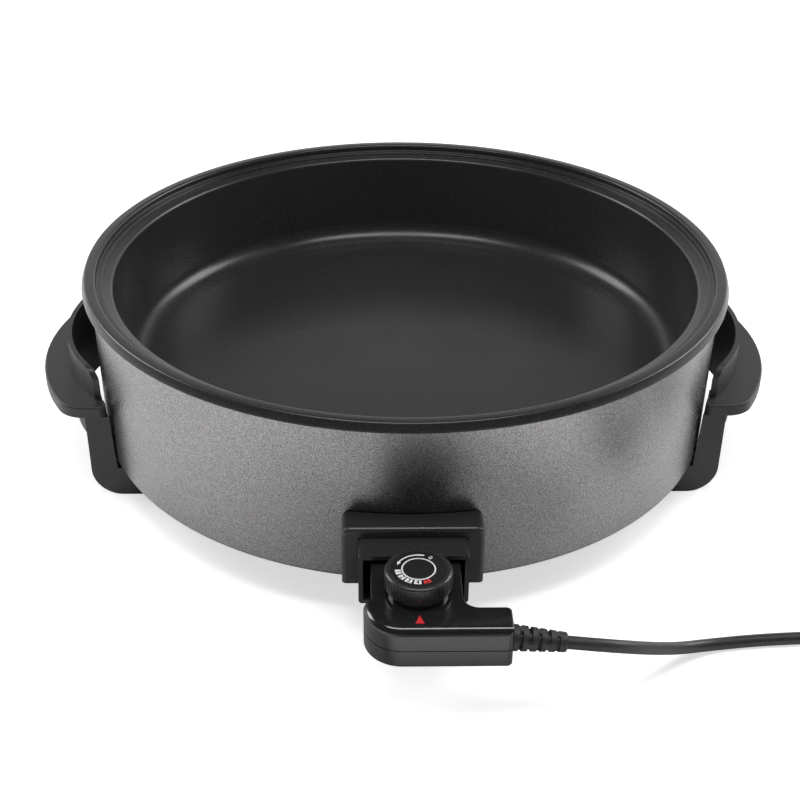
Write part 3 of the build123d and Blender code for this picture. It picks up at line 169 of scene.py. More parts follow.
PRINT_T = 0.04 * MM
ARC_STEPS, RING_STEPS = 24, 120
RING_R, RING_W = 8.35 * MM, 0.75 * MM
BLOCK_R0, BLOCK_R1 = 9.1 * MM, 12.0 * MM
BLOCK_ANGLES = (192.6, 217.0, 241.0, 266.0, 292.0)
BLOCK_SPAN = 19.0
ZERO_ANGLE, ZERO_R = 55.0, 11.0 * MM
NUMERAL_SIZE = 3.5 * MM   # of the type, whose numerals are 2.5 mm high
NUMERAL_BOLD = 0.05 * MM
ARROW_R = 11.2 * MM
ARROW_FROM, ARROW_NECK, ARROW_TIP = 74.0, 150.0, 163.0
ARROW_W0, ARROW_W1, ARROW_HEAD_W = 1.15 * MM, 0.7 * MM, 2.1 * MM


# ------------------------------------------------------------------ modelling by hand
def deselect():
    """Nothing selected, and object mode."""
    if bpy.context.object and bpy.context.object.mode != "OBJECT":
        bpy.ops.object.mode_set(mode="OBJECT")
    bpy.ops.object.select_all(action="DESELECT")


def only(piece):
    """That piece alone selected and active."""
    deselect()
    piece.select_set(True)
    bpy.context.view_layer.objects.active = piece


def settle(piece):
    """The piece's place goes into its mesh, and its object to the origin."""
    only(piece)
    bpy.ops.object.transform_apply(location=True, rotation=True, scale=True)


def edit(piece, faces):
    """Edit mode on the piece, with the faces that the test picks selected."""
    only(piece)
    bpy.ops.object.mode_set(mode="EDIT")
    bpy.ops.mesh.select_all(action="DESELECT")
    bpy.ops.mesh.select_mode(type="FACE")
    bpy.ops.object.mode_set(mode="OBJECT")
    for face in piece.data.polygons:
        face.select = faces(face)
    bpy.ops.object.mode_set(mode="EDIT")


def edit_edges(piece, edges):
    """Edit mode on the piece, with the edges whose two ends pass the test selected."""
    edit(piece, faces=lambda f: False)
    bpy.ops.mesh.select_mode(type="EDGE")
    bpy.ops.object.mode_set(mode="OBJECT")
    for edge in piece.data.edges:
        ends = [piece.data.vertices[v] for v in edge.vertices]
        if edges([end.co for end in ends]):
            edge.select = True
            for end in ends:
                end.select = True
    bpy.ops.object.mode_set(mode="EDIT")


def on_ring(points, centre, radius, height):
    """True if all the points lie on a level circle."""
    return all(abs(math.hypot(p.x - centre.x, p.y - centre.y) - radius) < RING_SLACK
               and abs(p.z - height) < LEVEL_SLACK for p in points)


def polar(radius, angle, centre=(0, 0)):
    """Plan point at a radius and an angle."""
    turn = math.radians(angle)
    return centre[0] + radius * math.cos(turn), centre[1] + radius * math.sin(turn)


def dress(piece, body, slot, *replaced):
    """The piece rides on a body, takes a slot's finish and may stand for CAD nodes."""
    piece.data.materials.clear()
    piece.data.materials.append(finishes[slot])
    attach(piece, body)
    if replaced:
        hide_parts(*replaced)


# ------------------------------------------------------------------ shader nodes
def feed(tree, socket, value):
    """Sets a socket, or links it if the value is itself a socket."""
    if isinstance(value, bpy.types.NodeSocket):
        tree.links.new(value, socket)
    else:
        socket.default_value = value


def math_node(tree, operation, first, second):
    """One sum. Each term is a number or a socket."""
    node = tree.nodes.new("ShaderNodeMath")
    node.operation = operation
    feed(tree, node.inputs[0], first)
    feed(tree, node.inputs[1], second)
    return node.outputs[0]


def ranged(tree, value, low, high, to_low=0.0, to_high=1.0):
    """The value stretched from one range to another, clamped."""
    node = tree.nodes.new("ShaderNodeMapRange")
    for label, term in (("Value", value), ("From Min", low), ("From Max", high),
                        ("To Min", to_low), ("To Max", to_high)):
        feed(tree, node.inputs[label], term)
    return node.outputs[0]


def mixed(tree, low, high, factor):
    """low where factor is 0 and high where it is 1. Each is a number or a socket."""
    node = tree.nodes.new("ShaderNodeMix")
    for socket, value in zip((node.inputs[0], node.inputs[2], node.inputs[3]), (factor, low, high)):
        feed(tree, socket, value)
    return node.outputs[0]


def mixed_colour(tree, low, high, factor):
    """Colour between two colours."""
    node = tree.nodes.new("ShaderNodeMix")
    node.data_type = "RGBA"
    for socket, value in zip((node.inputs[0], node.inputs[6], node.inputs[7]), (factor, low, high)):
        feed(tree, socket, value)
    return node.outputs[2]


def coordinates(tree, kind):
    """Texture coordinates of one kind, whole and split into X, Y and Z."""
    whole = tree.nodes.new("ShaderNodeTexCoord").outputs[kind]
    split = tree.nodes.new("ShaderNodeSeparateXYZ")
    tree.links.new(whole, split.inputs[0])
    return whole, split.outputs


def noise(tree, size, detail, stretch=(1, 1, 1)):
    """Noise on the object's own coordinates, with features about size metres across."""
    mapping = tree.nodes.new("ShaderNodeMapping")
    mapping.inputs["Scale"].default_value = stretch
    place = tree.nodes.new("ShaderNodeTexCoord")
    tree.links.new(place.outputs["Object"], mapping.inputs["Vector"])
    node = tree.nodes.new("ShaderNodeTexNoise")
    tree.links.new(mapping.outputs[0], node.inputs["Vector"])
    feed(tree, node.inputs["Scale"], math_node(tree, "DIVIDE", 1.0, size))
    node.inputs["Detail"].default_value = detail
    return node.outputs[0]


def bump(tree, height, distance):
    """Relief that feeds a shader's normal."""
    node = tree.nodes.new("ShaderNodeBump")
    node.inputs["Strength"].default_value = 1.0
    node.inputs["Distance"].default_value = distance
    tree.links.new(height, node.inputs["Height"])
    return node.outputs[0]


# ------------------------------------------------------------------ shader groups
def new_group(name, inputs, outputs):
    """Empty shader group with number inputs, given with their values, and number outputs."""
    tree = bpy.data.node_groups.new(name, "ShaderNodeTree")
    for label, value in inputs.items():
        socket = tree.interface.new_socket(label, in_out="INPUT", socket_type="NodeSocketFloat")
        socket.default_value = value
    for label in outputs:
        tree.interface.new_socket(label, in_out="OUTPUT", socket_type="NodeSocketFloat")
    return tree, tree.nodes.new("NodeGroupInput"), tree.nodes.new("NodeGroupOutput")


def place_group(tree, group, values):
    """One use of a group, with its own values."""
    node = tree.nodes.new("ShaderNodeGroup")
    node.node_tree = group
    for label, value in values.items():
        node.inputs[label].default_value = value
    return node


def give_pattern(tree, given, out, pattern):
    """The group puts out a noise pattern as height, and as a mask spread about its middle."""
    low = math_node(tree, "SUBTRACT", NOISE_MIDDLE, given.outputs["Spread"])
    high = math_node(tree, "ADD", NOISE_MIDDLE, given.outputs["Spread"])
    tree.links.new(ranged(tree, pattern, low, high), out.inputs["Mask"])
    tree.links.new(pattern, out.inputs["Height"])


def grain_group():
    """Even grain: a mask of its light spots and its height."""
    tree, given, out = new_group("surface_grain", {"Size": 1 * MM, "Spread": 0.12},
                                 ("Mask", "Height"))
    give_pattern(tree, given, out, noise(tree, given.outputs["Size"], GRAIN_DETAIL))
    return tree


def drawn_lines_group():
    """Fine lines along Y, as on drawn or brushed metal: their mask and height."""
    tree, given, out = new_group("drawn_lines", {"Size": 0.4 * MM, "Spread": 0.2},
                                 ("Mask", "Height"))
    lines = noise(tree, given.outputs["Size"], GRAIN_DETAIL, LINE_STRETCH)
    give_pattern(tree, given, out, lines)
    return tree


def cloud_group():
    """Large soft variation of handling and wear, between two values."""
    tree, given, out = new_group("soft_clouds", {"Size": 50 * MM, "Low": 0.3, "High": 0.4},
                                 ("Value",))
    soft = noise(tree, given.outputs["Size"], CLOUD_DETAIL)
    value = ranged(tree, soft, *CLOUD_RANGE, given.outputs["Low"], given.outputs["High"])
    tree.links.new(value, out.inputs["Value"])
    return tree


# ------------------------------------------------------------------ finishes
def rgb(red, green, blue):
    """Colour as a shader takes it."""
    return (red, green, blue, 1)


def grey(value):
    """Neutral colour."""
    return rgb(value, value, value)


def patterned(name, pattern, values, dark, light, rough, relief, clouds, **sockets):
    """Finish with colour and relief from a pattern, and soft variation of its gloss."""
    material = bpy.data.materials.new(name)
    material.use_nodes = True
    tree = material.node_tree
    shader = tree.nodes["Principled BSDF"]
    texture = place_group(tree, groups[pattern], values)
    cloud = place_group(tree, groups["clouds"], {"Size": clouds, "Low": rough[0], "High": rough[1]})
    tree.links.new(mixed_colour(tree, dark, light, texture.outputs["Mask"]),
                   shader.inputs["Base Color"])
    tree.links.new(cloud.outputs["Value"], shader.inputs["Roughness"])
    tree.links.new(bump(tree, texture.outputs["Height"], relief), shader.inputs["Normal"])
    for label, value in sockets.items():
        shader.inputs[label.replace("_", " ")].default_value = value
    return material


def grained(name, dark, light, size, rough, relief, spread=0.12, clouds=50 * MM, **sockets):
    """Finish with fine grain."""
    return patterned(name, "grain", {"Size": size, "Spread": spread}, dark, light, rough, relief,
                     clouds, **sockets)


def drawn_metal(name, dark, light, size, rough, relief=0.01 * MM):
    """Metal with fine lines along it."""
    return patterned(name, "lines", {"Size": size}, dark, light, rough, relief, METAL_CLOUDS,
                     Metallic=1.0)


def make_nonstick():
    """Black non-stick coat, satin with a fine orange peel."""
    return grained("nonstick", grey(0.019), grey(0.031), size=1.2 * MM, rough=(0.25, 0.32),
                   relief=0.01 * MM)


def make_hammertone():
    """Grey metallic enamel with a fine sparkling grain."""
    return grained("hammertone", rgb(0.2, 0.194, 0.201), rgb(0.46, 0.446, 0.461), size=0.6 * MM,
                   rough=(0.24, 0.29), relief=0.1 * MM, clouds=90 * MM, Metallic=1.0)


def make_base_steel():
    """Rolled steel of the base plate and the thermostat's bracket."""
    return drawn_metal("base_steel", grey(0.36), grey(0.52), size=0.6 * MM, rough=(0.3, 0.45))


def make_element_sheath():
    """Tube darkened by heat."""
    return grained("element_sheath", rgb(0.09, 0.075, 0.065), rgb(0.26, 0.24, 0.22), size=4 * MM,
                   rough=(0.42, 0.6), relief=0.02 * MM, spread=0.25, clouds=30 * MM, Metallic=0.9)


def make_gloss_moulding():
    """Glossy black moulding with the faint waviness of a moulded skin."""
    return grained("gloss_moulding", grey(0.011), grey(0.017), size=4 * MM, rough=(0.1, 0.15),
                   relief=0.01 * MM, spread=0.2, clouds=30 * MM, IOR=1.7)


def make_satin_moulding():
    """Black moulding with a low sheen."""
    return grained("satin_moulding", grey(0.022), grey(0.034), size=0.9 * MM, rough=(0.27, 0.34),
                   relief=0.01 * MM, IOR=1.6)


def make_matte_moulding():
    """Black moulding with a fine spark-eroded texture."""
    return grained("matte_moulding", grey(0.027), grey(0.04), size=0.7 * MM, rough=(0.38, 0.48),
                   relief=0.04 * MM)


def make_screw_steel():
    """Bright steel of the screws and the plunger."""
    return drawn_metal("screw_steel", grey(0.42), grey(0.62), size=0.3 * MM, rough=(0.25, 0.4))


def make_ceramic():
    """Unglazed cream ceramic of the bushes and the contacts' carriers."""
    return grained("ceramic", rgb(0.66, 0.63, 0.56), rgb(0.8, 0.78, 0.72), size=0.9 * MM,
                   rough=(0.5, 0.65), relief=0.03 * MM)


def make_plated_pin():
    """Nickel plating of the pins and the probe."""
    return drawn_metal("plated_pin", grey(0.68), grey(0.82), size=0.4 * MM, rough=(0.14, 0.24),
                       relief=0.004 * MM)


def make_spring_brass():
    """Brass of the springs, contacts and spindle."""
    return drawn_metal("spring_brass", rgb(0.62, 0.43, 0.17), rgb(0.78, 0.59, 0.28),
                       size=0.5 * MM, rough=(0.22, 0.36))


def make_lens_red():
    """Clear red plastic over the lamp."""
    return grained("lens_red", rgb(0.6, 0.03, 0.04), rgb(0.76, 0.045, 0.055), size=1.2 * MM,
                   rough=(0.16, 0.24), relief=0.005 * MM, spread=0.3, clouds=10 * MM,
                   Transmission_Weight=0.15)


def make_lamp_glass():
    """Glass of the lamp."""
    return grained("lamp_glass", grey(0.82), grey(0.92), size=2 * MM, rough=(0.03, 0.07),
                   relief=0.003 * MM, spread=0.3, clouds=10 * MM, Transmission_Weight=0.9)


def make_relief_rubber():
    """Black flexible moulding, satin."""
    return grained("relief_rubber", grey(0.028), grey(0.045), size=0.6 * MM, rough=(0.36, 0.46),
                   relief=0.03 * MM)


def make_cord_sheath():
    """Black flexible sheath of the lead."""
    return grained("cord_sheath", grey(0.028), grey(0.042), size=0.9 * MM, rough=(0.34, 0.44),
                   relief=0.02 * MM)


def make_dial_face():
    """Dark satin face of the dial."""
    return grained("dial_print", grey(0.012), grey(0.02), size=0.7 * MM, rough=(0.3, 0.38),
                   relief=0.01 * MM)


def make_print_white():
    """White ink."""
    return grained("print_white", grey(0.72), grey(0.84), size=0.4 * MM, rough=(0.4, 0.5),
                   relief=0.005 * MM)


def make_print_red():
    """Red ink."""
    return grained("print_red", rgb(0.6, 0.03, 0.035), rgb(0.72, 0.05, 0.055), size=0.4 * MM,
                   rough=(0.4, 0.5), relief=0.005 * MM)


def finish_nodes():
    """Every CAD node gets the finish of its slot."""
    for name, piece in frame["nodes"].items():
        if not piece.material_slots:
            piece.data.materials.append(None)
        for place in piece.material_slots:
            place.material = finishes[slot_of[name]]


# ------------------------------------------------------------------ studio
def add_camera():
    """Camera at the viewing angle."""
    data = bpy.data.cameras.new("camera")
    data.lens = CAMERA_LENS
    data.sensor_width = SENSOR_W
    camera = bpy.data.objects.new("camera", data)
    bpy.context.scene.collection.objects.link(camera)
    pitch, heading, roll = (math.radians(a) for a in (CAMERA_PITCH, CAMERA_HEADING, CAMERA_ROLL))
    forward = Vector((math.sin(heading) * math.cos(pitch), math.cos(heading) * math.cos(pitch),
                      -math.sin(pitch)))
    level = Vector((math.cos(heading), -math.sin(heading), 0))
    upright = level.cross(forward)
    right = math.cos(roll) * level + math.sin(roll) * upright
    up = math.cos(roll) * upright - math.sin(roll) * level
    turn = Matrix((right, up, -forward)).transposed().to_4x4()
    camera.matrix_world = Matrix.Translation(CAMERA_PLACE) @ turn
    bpy.context.scene.camera = camera


def add_softbox(name, place, target, width, height, power):
    """Rectangular lamp aimed at a point."""
    data = bpy.data.lights.new(name, "AREA")
    data.shape = "RECTANGLE"
    data.size, data.size_y = width, height
    data.energy = power
    lamp = bpy.data.objects.new(name, data)
    bpy.context.scene.collection.objects.link(lamp)
    lamp.location = place
    lamp.rotation_euler = (Vector(target) - Vector(place)).to_track_quat("-Z", "Y").to_euler()


def set_world():
    """Pale surroundings: white where seen, plain soft light on the rest."""
    world = bpy.data.worlds.new("studio")
    bpy.context.scene.world = world
    world.use_nodes = True
    tree = world.node_tree
    rays = tree.nodes.new("ShaderNodeLightPath").outputs
    _, along = coordinates(tree, "Generated")
    rear = ranged(tree, along["Y"], *BACKDROP_Y)
    low = ranged(tree, along["Z"], *BACKDROP_Z)
    mirrored = mixed(tree, GLOSS_SKY, 1.0, math_node(tree, "MULTIPLY", rear, low))
    plain = mixed(tree, AMBIENT, mirrored, rays["Is Glossy Ray"])
    clear = mixed(tree, plain, 1.0, rays["Is Transmission Ray"])
    strength = mixed(tree, clear, 1.0, rays["Is Camera Ray"])
    background = tree.nodes["Background"]
    background.inputs["Color"].default_value = grey(1)
    tree.links.new(strength, background.inputs["Strength"])


def mirrored_share(tree, along):
    """Painted shade and light on the floor as gloss mirrors it: a share of its colour by place,
    darker in front, brighter beside.
    """
    leftward = math_node(tree, "MULTIPLY", along["X"], -1.0)
    forward = math_node(tree, "MULTIPLY", along["Y"], -1.0)
    left = ranged(tree, leftward, 0.0, SHADE_LEFT, SHADE, PAINTED_LIGHT_LEFT)
    right = ranged(tree, along["X"], 0.0, SHADE_RIGHT, SHADE, PAINTED_LIGHT_RIGHT)
    rear = ranged(tree, along["Y"], *SHADE_REAR, SHADE, PAINTED_LIGHT_LEFT)
    front = math_node(tree, "MINIMUM", ranged(tree, forward, *SHADE_FRONT, SHADE, PAINTED_LIGHT_LEFT),
                      ranged(tree, forward, *SHADE_FAR, PAINTED_LIGHT_LEFT, SHADE))
    beside = math_node(tree, "MAXIMUM", left, right)
    before = math_node(tree, "MAXIMUM", front, rear)
    return math_node(tree, "MAXIMUM", beside, before)


def seen_lift(tree, whole, rays):
    """Light added to the floor where it is seen, and none for the object."""
    away = tree.nodes.new("ShaderNodeVectorMath")
    away.operation = "LENGTH"
    tree.links.new(whole, away.inputs[0])
    lift = ranged(tree, away.outputs["Value"], *FAR_FLOOR, NEAR_LIFT, FAR_LIFT)
    clear = mixed(tree, 0.0, lift, rays["Is Transmission Ray"])
    return mixed(tree, clear, lift, rays["Is Camera Ray"])


def add_floor():
    """Plain pale floor that keeps the object's soft shadow, with painted shade and light in what
    gloss mirrors of it.
    """
    deselect()
    bpy.ops.mesh.primitive_plane_add(size=FLOOR_SIZE, location=(0, 0, 0))
    floor = bpy.context.object
    floor.name = "floor"
    material = bpy.data.materials.new("floor")
    material.use_nodes = True
    tree = material.node_tree
    tree.nodes.remove(tree.nodes["Principled BSDF"])
    rays = tree.nodes.new("ShaderNodeLightPath").outputs
    whole, along = coordinates(tree, "Object")
    tint = tree.nodes.new("ShaderNodeVectorMath")
    tint.operation = "SCALE"
    tint.inputs[0].default_value = FLOOR_COLOUR
    # gloss sees the floor's colour scaled by painted shade in front of the object and painted light
    # beside it
    tree.links.new(mixed(tree, 1.0, mirrored_share(tree, along), rays["Is Glossy Ray"]),
                   tint.inputs["Scale"])
    matt = tree.nodes.new("ShaderNodeBsdfDiffuse")
    tree.links.new(tint.outputs[0], matt.inputs["Color"])
    glow = tree.nodes.new("ShaderNodeEmission")
    tree.links.new(seen_lift(tree, whole, rays), glow.inputs["Strength"])
    both = tree.nodes.new("ShaderNodeAddShader")
    tree.links.new(matt.outputs[0], both.inputs[0])
    tree.links.new(glow.outputs[0], both.inputs[1])
    tree.links.new(both.outputs[0], tree.nodes["Material Output"].inputs["Surface"])
    floor.data.materials.append(material)


# ------------------------------------------------------------------ lead
def between(angle, span, before, after):
    """The first value before a span of angles, the second past it, and a smooth change in it."""
    share = min(max((angle - span[0]) / (span[1] - span[0]), 0.0), 1.0)
    return before + (after - before) * share * share * (3 - 2 * share)


def coil_points():
    """Turns of the put-away lead: out, in, up, and out again, side by side and on each other."""
    points = []
    half = TURN_STEP / 2
    count = round((TURN_END - TURN_START) / TURN_STEP)
    for i in range(count):
        angle = TURN_START + half + i * TURN_STEP
        radius = between(angle, GO_IN, TURN_OUTER, TURN_INNER)
        radius += between(angle, GO_OUT, 0, TURN_OUTER - TURN_INNER)
        height = between(angle, CLIMB, LYING_Z, UPPER_Z)
        x, y = polar(radius / math.cos(math.radians(half)), angle, COIL_CENTRE)
        points.append((x, y, height))
    return points


def add_cord():
    """The lead as one smooth line, from the strain relief through the coil to the plug."""
    points = CORD_ROUTE + coil_points() + CORD_TAIL
    data = bpy.data.curves.new("mains_lead", "CURVE")
    data.dimensions = "3D"
    data.bevel_depth = CORD_D / 2
    data.bevel_resolution = CORD_SIDES
    data.resolution_u = CORD_STEPS
    data.use_fill_caps = True
    spline = data.splines.new("NURBS")
    spline.points.add(len(points) - 1)
    for point, place in zip(spline.points, points):
        point.co = (*place, 1)
    spline.order_u = 3
    spline.use_endpoint_u = True
    lead = bpy.data.objects.new("mains_lead", data)
    bpy.context.scene.collection.objects.link(lead)
    dress(lead, "controller", "cord_sheath", "power_cord", "cord_coil", "cord_tail")


# ------------------------------------------------------------------ pan and casing
def turned(name, section):
    """Surface of revolution from its section's corners (radius, height, rounding)."""
    radius, height, _ = section[0]
    deselect()
    bpy.ops.mesh.primitive_circle_add(vertices=SKIN_SIDES, radius=radius, location=(0, 0, height))
    skin = bpy.context.object
    skin.name = name
    settle(skin)
    edit_edges(skin, lambda ends: True)
    for last, corner in zip(section, section[1:]):
        if not corner[0]:
            bpy.ops.mesh.edge_face_add()
            continue
        rise = (0, 0, corner[1] - last[1])
        bpy.ops.mesh.extrude_region_move(TRANSFORM_OT_translate={"value": rise})
        scale = corner[0] / last[0]
        bpy.ops.transform.resize(value=(scale, scale, 1), center_override=(0, 0, corner[1]))
    for before, corner, after in zip(section, section[1:], section[2:]):
        if corner[2]:
            round_corner(skin, before, corner, after)
    face_outwards(skin)
    return skin


def round_corner(skin, before, corner, after):
    """Rounds one corner of a turned section."""
    radius, height, rounding = corner
    arriving = Vector((radius - before[0], height - before[1]))
    leaving = Vector((after[0] - radius, after[1] - height))
    reach = rounding * math.tan(arriving.angle(leaving) / 2)
    steps = WIDE_STEPS if rounding > WIDE_R else ROUND_STEPS
    edit_edges(skin, lambda ends: on_ring(ends, Vector((0, 0)), radius, height))
    bpy.ops.mesh.bevel(offset=reach, segments=steps, affect="EDGES", clamp_overlap=False)


def face_outwards(skin):
    """Turns the skin over if its widest face looks towards the origin."""
    deselect()
    widest = max(skin.data.polygons, key=lambda face: face.area)
    if widest.normal.dot(widest.center) < 0:
        edit(skin, faces=lambda f: True)
        bpy.ops.mesh.flip_normals()


def thicken(skin):
    """Gives the skin its thickness, on the outside of the metal."""
    only(skin)
    wall = skin.modifiers.new("thickness", "SOLIDIFY")
    wall.thickness = SKIN_T
    wall.offset = 1.0
    wall.use_even_offset = True
    bpy.ops.object.modifier_apply(modifier=wall.name)
    bpy.ops.object.shade_smooth_by_angle(angle=math.radians(SKIN_SMOOTH))


def add_coat():
    """Non-stick coat over the pan's floor, wall, ledge and rim."""
    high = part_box("pan_bowl")[1]
    rim_r, rim_z = high.x, high.z
    ledge_r, ledge_z = rim_r - RIM_FLARE - LIP_W, rim_z - LIP_DROP
    step_r, step_z = ledge_r - LEDGE_W, ledge_z - STEP_DROP
    wall_r, wall_z = step_r - SLOPE_W, step_z - SLOPE_DROP
    coat = turned("nonstick_coat", [
        (rim_r - RIM_HEM, rim_z - RIM_FACE, 0),
        (rim_r, rim_z - RIM_FACE, RIM_FOOT_R),
        (rim_r - RIM_FLARE, rim_z, RIM_EDGE_R),
        (ledge_r, rim_z, LIP_R),
        (ledge_r, ledge_z, LEDGE_R),
        (step_r, ledge_z, STEP_R),
        (step_r, step_z, STEP_R),
        (wall_r, wall_z, WALL_TOP_R),
        (wall_r - PAN_TAPER, FLOOR_Z, PAN_CORNER_R),
        (0, FLOOR_Z, 0),
    ])
    edit(coat, faces=lambda f: len(f.vertices) == SKIN_SIDES)
    bpy.ops.mesh.inset(thickness=FLOOR_EDGE_W)
    thicken(coat)
    dress(coat, "pan", "nonstick")


def open_for_sleeve(enamel):
    """Cuts the opening through which the inlet's sleeve goes in."""
    low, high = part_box("inlet_tunnel")
    half, bottom, top = high.x + SEAT_GAP, low.z - SEAT_GAP, high.z + SEAT_GAP
    for place, along in (((half, 0, 0), (1, 0, 0)), ((-half, 0, 0), (1, 0, 0)),
                         ((0, 0, bottom), (0, 0, 1)), ((0, 0, top), (0, 0, 1))):
        edit(enamel, faces=lambda f: True)
        bpy.ops.mesh.bisect(plane_co=place, plane_no=along)
    edit(enamel, faces=lambda f: abs(f.center.x) < half and bottom < f.center.z < top
         and f.center.y < 0)
    bpy.ops.mesh.delete(type="FACE")


def add_enamel():
    """Enamel on the casing's outside, round the inlet and in under the foot."""
    low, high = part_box("outer_casing")
    foot_r = high.x - CASING_DRAFT
    enamel = turned("casing_enamel", [
        (high.x, high.z, 0),
        (foot_r, low.z, CASING_CORNER_R),
        (foot_r - CASING_FLANGE_W, low.z, 0),
    ])
    open_for_sleeve(enamel)
    thicken(enamel)
    dress(enamel, "pan", "hammertone")


# ------------------------------------------------------------------ dial
def knob_body(low, high, centre, rib_low, rib_high):
    """Round body of the knob: a straight foot, a band for the ribs and a drawn-in top."""
    deselect()
    bpy.ops.mesh.primitive_cylinder_add(vertices=2 * KNOB_RIBS, radius=KNOB_FOOT_R,
                                        depth=high.z - low.z, location=centre)
    knob = bpy.context.object
    knob.name = "dial_knob_ribbed"
    settle(knob)
    for z in (rib_low, rib_high):
        edit(knob, faces=lambda f: True)
        bpy.ops.mesh.bisect(plane_co=(centre.x, centre.y, z), plane_no=(0, 0, 1))
    band_r = (high.x - low.x) / 2 - RIB_RISE
    for z, radius in ((rib_high, band_r), (high.z, KNOB_TOP_R)):
        edit_edges(knob, lambda ends: on_ring(ends, centre, KNOB_FOOT_R, z))
        scale = radius / KNOB_FOOT_R
        bpy.ops.transform.resize(value=(scale, scale, 1), center_override=(centre.x, centre.y, z))
    return knob


def raise_ribs(knob, centre, rib_low, rib_high):
    """Raises every other side of the band into a rib."""
    step = 180 / KNOB_RIBS

    def on_rib(face):
        spot = face.center - centre
        turn = math.degrees(math.atan2(spot.y, spot.x)) / step
        return rib_low < face.center.z < rib_high and round(turn - 0.5) % 2 == 0

    edit(knob, faces=on_rib)
    bpy.ops.mesh.inset(thickness=RIB_INSET, depth=RIB_RISE, use_individual=True)


def sink_recess(knob):
    """Sinks the recess for the dial's face into the knob's top."""
    low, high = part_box("dial_disc")
    recess_r = (high.x - low.x) / 2 + DISC_GAP
    edit(knob, faces=lambda f: len(f.vertices) == 2 * KNOB_RIBS and f.normal.z > 0)
    bpy.ops.mesh.inset(thickness=KNOB_TOP_R - recess_r)
    bpy.ops.mesh.extrude_region_move(TRANSFORM_OT_translate={"value": (0, 0, low.z - high.z)})


def round_rims(knob, centre, rims):
    """Rounds the knob's outer edges, each given by its radius, height and rounding."""
    only(knob)
    weight = knob.data.attributes.new("bevel_weight_edge", "FLOAT", "EDGE")
    for edge in knob.data.edges:
        ends = [knob.data.vertices[v].co for v in edge.vertices]
        for radius, height, rounding in rims:
            if on_ring(ends, centre, radius, height):
                weight.data[edge.index].value = rounding / KNOB_EDGE_R
    bevel = knob.modifiers.new("edges", "BEVEL")
    bevel.width = KNOB_EDGE_R
    bevel.segments = KNOB_EDGE_STEPS
    bevel.limit_method = "WEIGHT"
    bpy.ops.object.modifier_apply(modifier=bevel.name)
    bpy.ops.object.shade_smooth_by_angle(angle=math.radians(KNOB_SMOOTH))


def add_knob():
    """Ribbed turning knob with a recess for its face."""
    low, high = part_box("dial_knob")
    centre = (low + high) / 2
    rib_low, rib_high = low.z + RIB_FOOT_GAP, high.z - RIB_TOP_GAP
    knob = knob_body(low, high, centre, rib_low, rib_high)
    raise_ribs(knob, centre, rib_low, rib_high)
    sink_recess(knob)
    round_rims(knob, centre, ((KNOB_TOP_R, high.z, KNOB_EDGE_R),
                             (KNOB_FOOT_R, low.z, KNOB_FOOT_EDGE_R)))
    dress(knob, "dial", "satin_moulding", "dial_knob")


def arc(radius, start, end, centre, steps=ARC_STEPS):
    """Plan points along an arc."""
    return [polar(radius, start + (end - start) * i / steps, centre) for i in range(steps + 1)]


def print_mark(mark, ink):
    """A printed mark rides on the dial with its own ink."""
    dress(mark, "dial", "dial_print")
    mark.data.materials[0] = inks[ink]


def print_shape(name, outlines, z, ink):
    """Thin printed mark from closed plan outlines. A second outline inside the first is a hole."""
    data = bpy.data.curves.new(name, "CURVE")
    data.dimensions = "2D"
    data.fill_mode = "BOTH"
    data.extrude = PRINT_T / 2
    for outline in outlines:
        spline = data.splines.new("POLY")
        spline.points.add(len(outline) - 1)
        for point, (x, y) in zip(spline.points, outline):
            point.co = (x, y, 0, 1)
        spline.use_cyclic_u = True
    mark = bpy.data.objects.new(name, data)
    bpy.context.scene.collection.objects.link(mark)
    only(mark)
    bpy.ops.object.convert(target="MESH")
    mark = bpy.context.object
    mark.location.z = z + PRINT_T / 2
    settle(mark)
    print_mark(mark, ink)


def print_numeral(text, radius, angle, centre, z, ink):
    """Plain numeral whose top points to the dial's centre."""
    deselect()
    x, y = polar(radius, angle, centre)
    bpy.ops.object.text_add(location=(x, y, z + PRINT_T / 2),
                            rotation=(0, 0, math.radians(angle + 90)))
    mark = bpy.context.object
    mark.name = f"dial_numeral_{text}"
    mark.data.body = text
    mark.data.size = NUMERAL_SIZE
    mark.data.align_x = "CENTER"
    mark.data.align_y = "CENTER"
    mark.data.extrude = PRINT_T / 2
    mark.data.offset = NUMERAL_BOLD
    bpy.ops.object.convert(target="MESH")
    settle(bpy.context.object)
    print_mark(bpy.context.object, ink)


def print_ring(centre, z):
    """Ring round the dial's middle."""
    last = 360 - 360 / RING_STEPS
    print_shape("dial_ring", [arc(radius, 0, last, centre, RING_STEPS - 1)
                              for radius in (RING_R + RING_W / 2, RING_R - RING_W / 2)], z, "white")


def print_block(number, angle, centre, z):
    """Numbered block, red for the highest heat."""
    start, end = angle - BLOCK_SPAN / 2, angle + BLOCK_SPAN / 2
    block = arc(BLOCK_R0, start, end, centre) + arc(BLOCK_R1, end, start, centre)
    ink = "red" if number == len(BLOCK_ANGLES) else "white"
    print_shape(f"dial_block_{number}", [block], z, ink)
    print_numeral(str(number), (BLOCK_R0 + BLOCK_R1) / 2, angle, centre, z + PRINT_T, "dark")


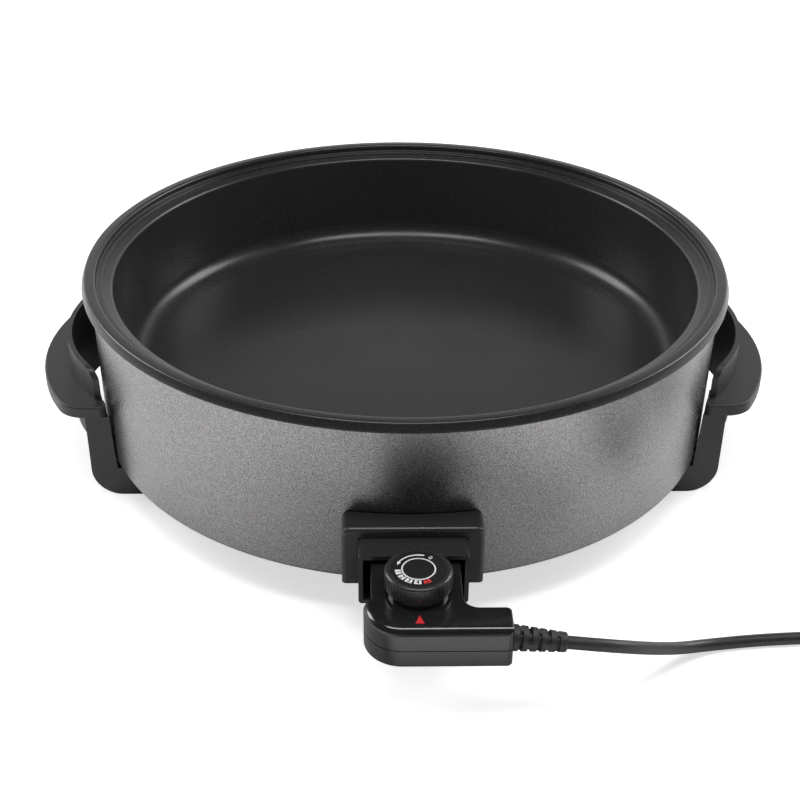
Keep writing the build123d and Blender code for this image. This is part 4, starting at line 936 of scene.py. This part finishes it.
def print_arrow(centre, z):
    """Curved arrow that narrows towards its head."""
    outer, inner = [], []
    for i in range(ARC_STEPS + 1):
        angle = ARROW_FROM + (ARROW_NECK - ARROW_FROM) * i / ARC_STEPS
        half = (ARROW_W0 + (ARROW_W1 - ARROW_W0) * i / ARC_STEPS) / 2
        outer.append(polar(ARROW_R + half, angle, centre))
        inner.append(polar(ARROW_R - half, angle, centre))
    head = [
        polar(ARROW_R + ARROW_HEAD_W / 2, ARROW_NECK, centre),
        polar(ARROW_R, ARROW_TIP, centre),
        polar(ARROW_R - ARROW_HEAD_W / 2, ARROW_NECK, centre),
    ]
    print_shape("dial_arrow", [outer + head + inner[::-1]], z, "white")


def add_dial_print():
    """Ring, numbered blocks, zero and arrow on the dial's face."""
    low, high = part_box("dial_disc")
    centre = ((low.x + high.x) / 2, (low.y + high.y) / 2)
    z = high.z
    print_ring(centre, z)
    for number, angle in enumerate(BLOCK_ANGLES, start=1):
        print_block(number, angle, centre, z)
    print_numeral("0", ZERO_R, ZERO_ANGLE, centre, z, "white")
    print_arrow(centre, z)


# ------------------------------------------------------------------ scene
add_camera()
set_world()
add_floor()
for softbox in SOFTBOXES:
    add_softbox(*softbox)

groups = {"grain": grain_group(), "lines": drawn_lines_group(), "clouds": cloud_group()}
finishes = {
    "nonstick": make_nonstick(),
    "hammertone": make_hammertone(),
    "base_steel": make_base_steel(),
    "element_sheath": make_element_sheath(),
    "gloss_moulding": make_gloss_moulding(),
    "satin_moulding": make_satin_moulding(),
    "matte_moulding": make_matte_moulding(),
    "screw_steel": make_screw_steel(),
    "ceramic": make_ceramic(),
    "plated_pin": make_plated_pin(),
    "spring_brass": make_spring_brass(),
    "lens_red": make_lens_red(),
    "lamp_glass": make_lamp_glass(),
    "relief_rubber": make_relief_rubber(),
    "cord_sheath": make_cord_sheath(),
    "dial_print": make_dial_face(),
}
inks = {"white": make_print_white(), "red": make_print_red(), "dark": finishes["dial_print"]}

finish_nodes()
add_cord()
add_coat()
add_enamel()
add_knob()
add_dial_print()

bpy.context.scene.view_settings.view_transform = "Standard"
